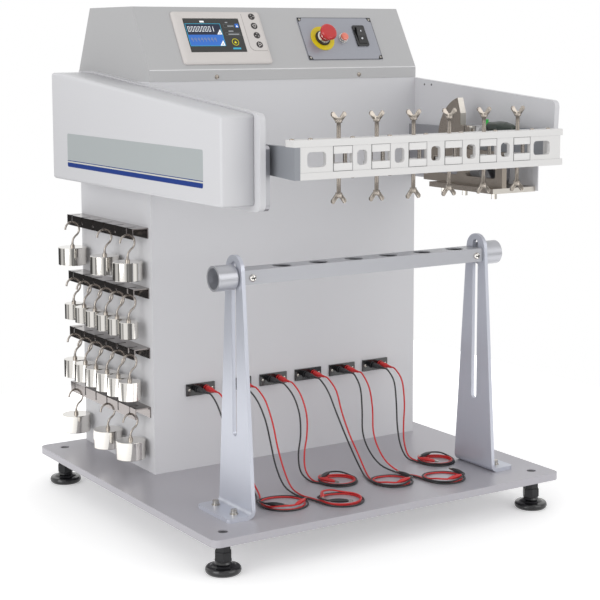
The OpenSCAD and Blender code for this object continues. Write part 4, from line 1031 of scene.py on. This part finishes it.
def add_belt_cover():
    """The pressed cover: a shell with crisp round edges on a dark seal."""
    frame = at_deck(0, 0, 0) @ SIDEWAYS
    bm = bmesh.new()
    slab(bm, COVER_PROFILE, COVER_X, COVER_ROOT_X - 1, frame)
    root_x = frame.translation.x + (COVER_ROOT_X - 1) / 1000
    root = [face for face in bm.faces if abs(face.calc_center_median().x - root_x) < 1e-5]
    bmesh.ops.delete(bm, geom=root, context="FACES_ONLY")
    edges = [edge for edge in bm.edges if not edge.is_boundary]
    bmesh.ops.bevel(
        bm, geom=edges, offset=COVER_EDGE, offset_type="OFFSET", segments=5, profile=0.5, affect="EDGES",
        material=-1,
    )
    cover = finish_piece(bm, "cover_shell", "body", replaces=["belt_cover"])
    wall = cover.modifiers.new("Wall", "SOLIDIFY")
    wall.thickness = COVER_WALL
    wall.offset = -1
    seal = bmesh.new()
    inner = [(y + (3 if y < 0 else -3), z + (3 if z < 700 else -3)) for y, z in COVER_PROFILE]
    slab(seal, inner, COVER_ROOT_X - 1, COVER_ROOT_X, frame)
    finish_piece(seal, "cover_seal", "edge_line")


def add_side_label():
    """The bare label on the belt cover: pale ground, a thin line, a cream gap and a broad stripe."""
    frame = at_deck(COVER_X, 0, 0) @ about("Y", -90)
    low, high, back, front = 648, 720, 283, -325
    middle = frame @ Matrix.Translation(((low + high) / 2, (back + front) / 2, 0))
    ground = bmesh.new()
    slab(ground, rounded_outline(high - low, back - front, 4), 0, 0.3, middle)
    finish_piece(ground, "side_label", "label")
    stripes = bmesh.new()
    bend = 4
    broad, gap_end, thin_end = low + 9.6, low + 12.6, low + 14.2
    outline = [(broad, front), (broad, back), (low + bend, back)]
    for y, way, turns in ((back - bend, 1, (60, 30, 0)), (front + bend, -1, (0, 30, 60, 90))):
        outline += [(low + bend - bend * math.cos(math.radians(a)), y + way * bend * math.sin(math.radians(a)))
                    for a in turns]
    slab(stripes, outline, 0.3, 0.42, frame)
    slab(stripes, [(gap_end, front), (gap_end, back), (thin_end, back), (thin_end, front)], 0.3, 0.42, frame)
    finish_piece(stripes, "side_label_stripes", "stripe")
    gap = bmesh.new()
    slab(gap, [(broad, front), (broad, back), (gap_end, back), (gap_end, front)], 0.3, 0.38, frame)
    finish_piece(gap, "side_label_gap", "cream")


def add_wing_holes():
    """Two small tapped holes in the inner face of the right wing, shown only by dark discs that paint the
    shade in their mouths.
    """
    mouths = bmesh.new()
    for y in WING_HOLES_Y:
        spot = at_deck(WING_FACE_X, y, WING_HOLES_Z) @ about("Y", -90)
        rod(mouths, 2.4, -0.4, 0.05, spot)
    finish_piece(mouths, "wing_hole_shade", "edge_line")


RAIL_SCREW_X = (-284, -244, -151, -66, 19, 104, 190, 285, 327)
RAIL_Y = -459.5
RAIL_TOP, RAIL_FOOT = 741, 668
GAP_HIGH, GAP_LOW = 728, 681


def add_bar_screws():
    """Button-head screws above and below the clamp bar."""
    heads = bmesh.new()
    over = about("X", 180)
    for x in RAIL_SCREW_X:
        button_head(heads, at_deck(x, RAIL_Y, RAIL_TOP), 4.8)
        if -240 < x < 300:
            button_head(heads, at_deck(x, RAIL_Y, RAIL_FOOT) @ over, 4.8)
    finish_piece(heads, "bar_screws", "wing_screw", body=SWING)


STRIP_FRONT_Y = -474
STATION_W = 43


def add_bar_seam_shade():
    """Painted shade: thin dark marks on the bar's face where the gaps round the jaws and the seams of the
    strips hold shade.
    """
    low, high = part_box("window_plates")
    left, right = low.x * 1000, high.x * 1000
    boxes = [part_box(f"top_clamp_{k + 1}") for k in range(STATIONS)]
    stations = [(a.x + b.x) * 500 for a, b in boxes]
    face = facing_front(0, STRIP_FRONT_Y, 0)
    seams, gaps = bmesh.new(), bmesh.new()
    for z in (GAP_LOW, GAP_HIGH):
        mark(seams, (left + right) / 2, z, right - left, 0.6, face)
    for x in stations:
        mark(seams, x + STATION_W / 2, (GAP_LOW + GAP_HIGH) / 2, 0.7, GAP_HIGH - GAP_LOW, face, 0.2)
        mark(gaps, x - STATION_W / 2, (GAP_LOW + GAP_HIGH) / 2, 1.1, GAP_HIGH - GAP_LOW, face, 0.3)
        mark(gaps, x, GAP_HIGH - 0.2, STATION_W, 1.0, face, 0.3)
        mark(gaps, x, GAP_LOW + 0.2, STATION_W, 1.2, face, 0.3)
    finish_piece(seams, "strip_seam_shade", "seam", body=SWING)
    finish_piece(gaps, "jaw_gap_shade", "edge_line", body=SWING)


def deck_height(point):
    """Height above the base plate, in millimetres, of a point in metres."""
    return (point.z - DECK_Z) * 1000


def add_clamps():
    """The jaws in their own finish, with nickel wing screws."""
    for station in range(1, STATIONS + 1):
        for side, is_screw in (
            ("top", lambda middle, normal: deck_height(middle) > GAP_HIGH + 0.2),
            ("low", lambda middle, normal: deck_height(middle) < GAP_LOW - 0.2),
        ):
            two_tone(f"{side}_clamp_{station}", "jaw", "wing_screw", is_screw)


CONNECTOR_LOW, CONNECTOR_FRONT = 739.2, -262


def add_drive():
    """Milled front edges of the sector and the shelf, lighter only on the faces turned to the front, so their
    tone is partly milled metal and partly painted highlight; and the green connector of the gear motor.
    """
    # Only faces turned to the front get the lighter tone: milled metal with a painted highlight
    for node, steepest in (("counterweight", -0.35), ("bracket_shelf", -0.9)):
        two_tone(node, "nickel", "milled_and_highlight", lambda middle, normal: normal.y < steepest)
    front_y = MIDDLE_Y + CONNECTOR_FRONT / 1000
    two_tone("gearbox", "cast", "green",
             lambda middle, normal: deck_height(middle) > CONNECTOR_LOW and middle.y < front_y - 0.0002)


TUBE_FACE_Y, TUBE_Z = -293, 466
TUBE_SCREWS_X = (-270, 281)


def add_tube_screws():
    """Cross-head screws through the ends of the guide tube, their slots drawn as dark crosses of painted
    shade.
    """
    heads = bmesh.new()
    slots = bmesh.new()
    for x in TUBE_SCREWS_X:
        spot = facing_front(x, TUBE_FACE_Y, TUBE_Z)
        turned(heads, [(0, 0), (7.4, 0), (7.4, 2), (6.6, 4.2), (4.6, 5.6), (2, 6.2), (0, 6.3)], spot, 32)
        for turn in (20, 110):
            arm = spot @ about("Z", turn) @ out_by(5.2)
            mark(slots, 0, 0, 8.5, 1.7, arm, 1.2)
    finish_piece(heads, "tube_screws", "chrome", body="cable_guide")
    finish_piece(slots, "tube_screw_slot_shade", "slot_shade", body="cable_guide")


def add_socket_rings():
    """Coloured collars of the safety sockets, and the screws of their plates."""
    for side, colour in ((-1, "black"), (1, "red")):
        rings = bmesh.new()
        for station in range(STATIONS):
            spot = facing_front(socket_x(station, side), TERMINAL_FACE_Y, TERMINAL_Z)
            ring(rings, 6.2, 7.9, 0, 3.9, spot, 36)
        finish_piece(rings, f"socket_rings_{colour}", "lead_" + colour, bevel=0.3)
    screws = bmesh.new()
    for station in range(STATIONS):
        for side in (-1, 1):
            x = FIRST_TERMINAL_X + station * TERMINAL_PITCH + side * TERMINAL_SCREW_DX
            button_head(screws, facing_front(x, TERMINAL_FACE_Y, TERMINAL_Z), 3.4, 20)
    finish_piece(screws, "terminal_screws", "zinc")


# Operators


def dress_nodes():
    for look, nodes in NODE_FINISHES.items():
        for node in nodes.split():
            dress(node, FINISHES[look])


class Steps:
    """What an operator does: its steps, in order."""

    steps = ()

    def execute(self, context):
        for step in self.steps:
            step()
        return {"FINISHED"}


class FLEXTESTER_OT_stage(Steps, bpy.types.Operator):
    """Add the camera, lights, surroundings and floor"""

    bl_idname = "flextester.stage"
    bl_label = "Stage"
    steps = (add_camera, add_surroundings, add_floor, add_lights)


class FLEXTESTER_OT_finishes(Steps, bpy.types.Operator):
    """Make the materials and dress the CAD nodes"""

    bl_idname = "flextester.finishes"
    bl_label = "Finishes"
    steps = (make_finishes, dress_nodes)


class FLEXTESTER_OT_leads(Steps, bpy.types.Operator):
    """Lay the test leads with their plugs, coils and clips"""

    bl_idname = "flextester.leads"
    bl_label = "Test Leads"
    steps = (add_leads, add_socket_rings)


class FLEXTESTER_OT_console(Steps, bpy.types.Operator):
    """Add the display picture, keys, switches and screws of the console"""

    bl_idname = "flextester.console"
    bl_label = "Console"
    steps = (
        add_bezel, add_screen_picture, add_keys, add_switch_plate_trim, add_stop_parts, add_lamp_parts,
        add_rocker_marks, add_lip_screws, add_fold,
    )


class FLEXTESTER_OT_wings(Steps, bpy.types.Operator):
    """Add the belt cover, its label and the wing's holes"""

    bl_idname = "flextester.wings"
    bl_label = "Wings"
    steps = (add_belt_cover, add_side_label, add_wing_holes)


class FLEXTESTER_OT_bar(Steps, bpy.types.Operator):
    """Finish the clamps, the drive and the guide tube, with their screws"""

    bl_idname = "flextester.bar"
    bl_label = "Clamp Bar and Drive"
    steps = (add_clamps, add_bar_screws, add_bar_seam_shade, add_drive, add_tube_screws)


class FLEXTESTER_PT_panel(bpy.types.Panel):
    """Steps that build the machine's looks"""

    bl_idname = "FLEXTESTER_PT_panel"
    bl_label = "Flex Tester"
    bl_space_type = "VIEW_3D"
    bl_region_type = "UI"
    bl_category = "Flex Tester"

    def draw(self, context):
        for operator in OPERATORS:
            self.layout.operator(operator.bl_idname)


SETTINGS = (
    ("flex_colours", FlexTesterColours),
    ("flex_sizes", FlexTesterSizes),
    ("flex_stage", FlexTesterStage),
)
OPERATORS = (
    FLEXTESTER_OT_stage,
    FLEXTESTER_OT_finishes,
    FLEXTESTER_OT_leads,
    FLEXTESTER_OT_console,
    FLEXTESTER_OT_wings,
    FLEXTESTER_OT_bar,
)


def register():
    for name, group in SETTINGS:
        bpy.utils.register_class(group)
        setattr(bpy.types.Scene, name, PointerProperty(type=group))
    for operator in OPERATORS:
        bpy.utils.register_class(operator)
    bpy.utils.register_class(FLEXTESTER_PT_panel)


def unregister():
    bpy.utils.unregister_class(FLEXTESTER_PT_panel)
    for operator in reversed(OPERATORS):
        bpy.utils.unregister_class(operator)
    for name, group in reversed(SETTINGS):
        delattr(bpy.types.Scene, name)
        bpy.utils.unregister_class(group)


def main():
    register()
    bpy.ops.flextester.stage()
    bpy.ops.flextester.finishes()
    bpy.ops.flextester.leads()
    bpy.ops.flextester.console()
    bpy.ops.flextester.wings()
    bpy.ops.flextester.bar()


if __name__ == "__main__":
    main()
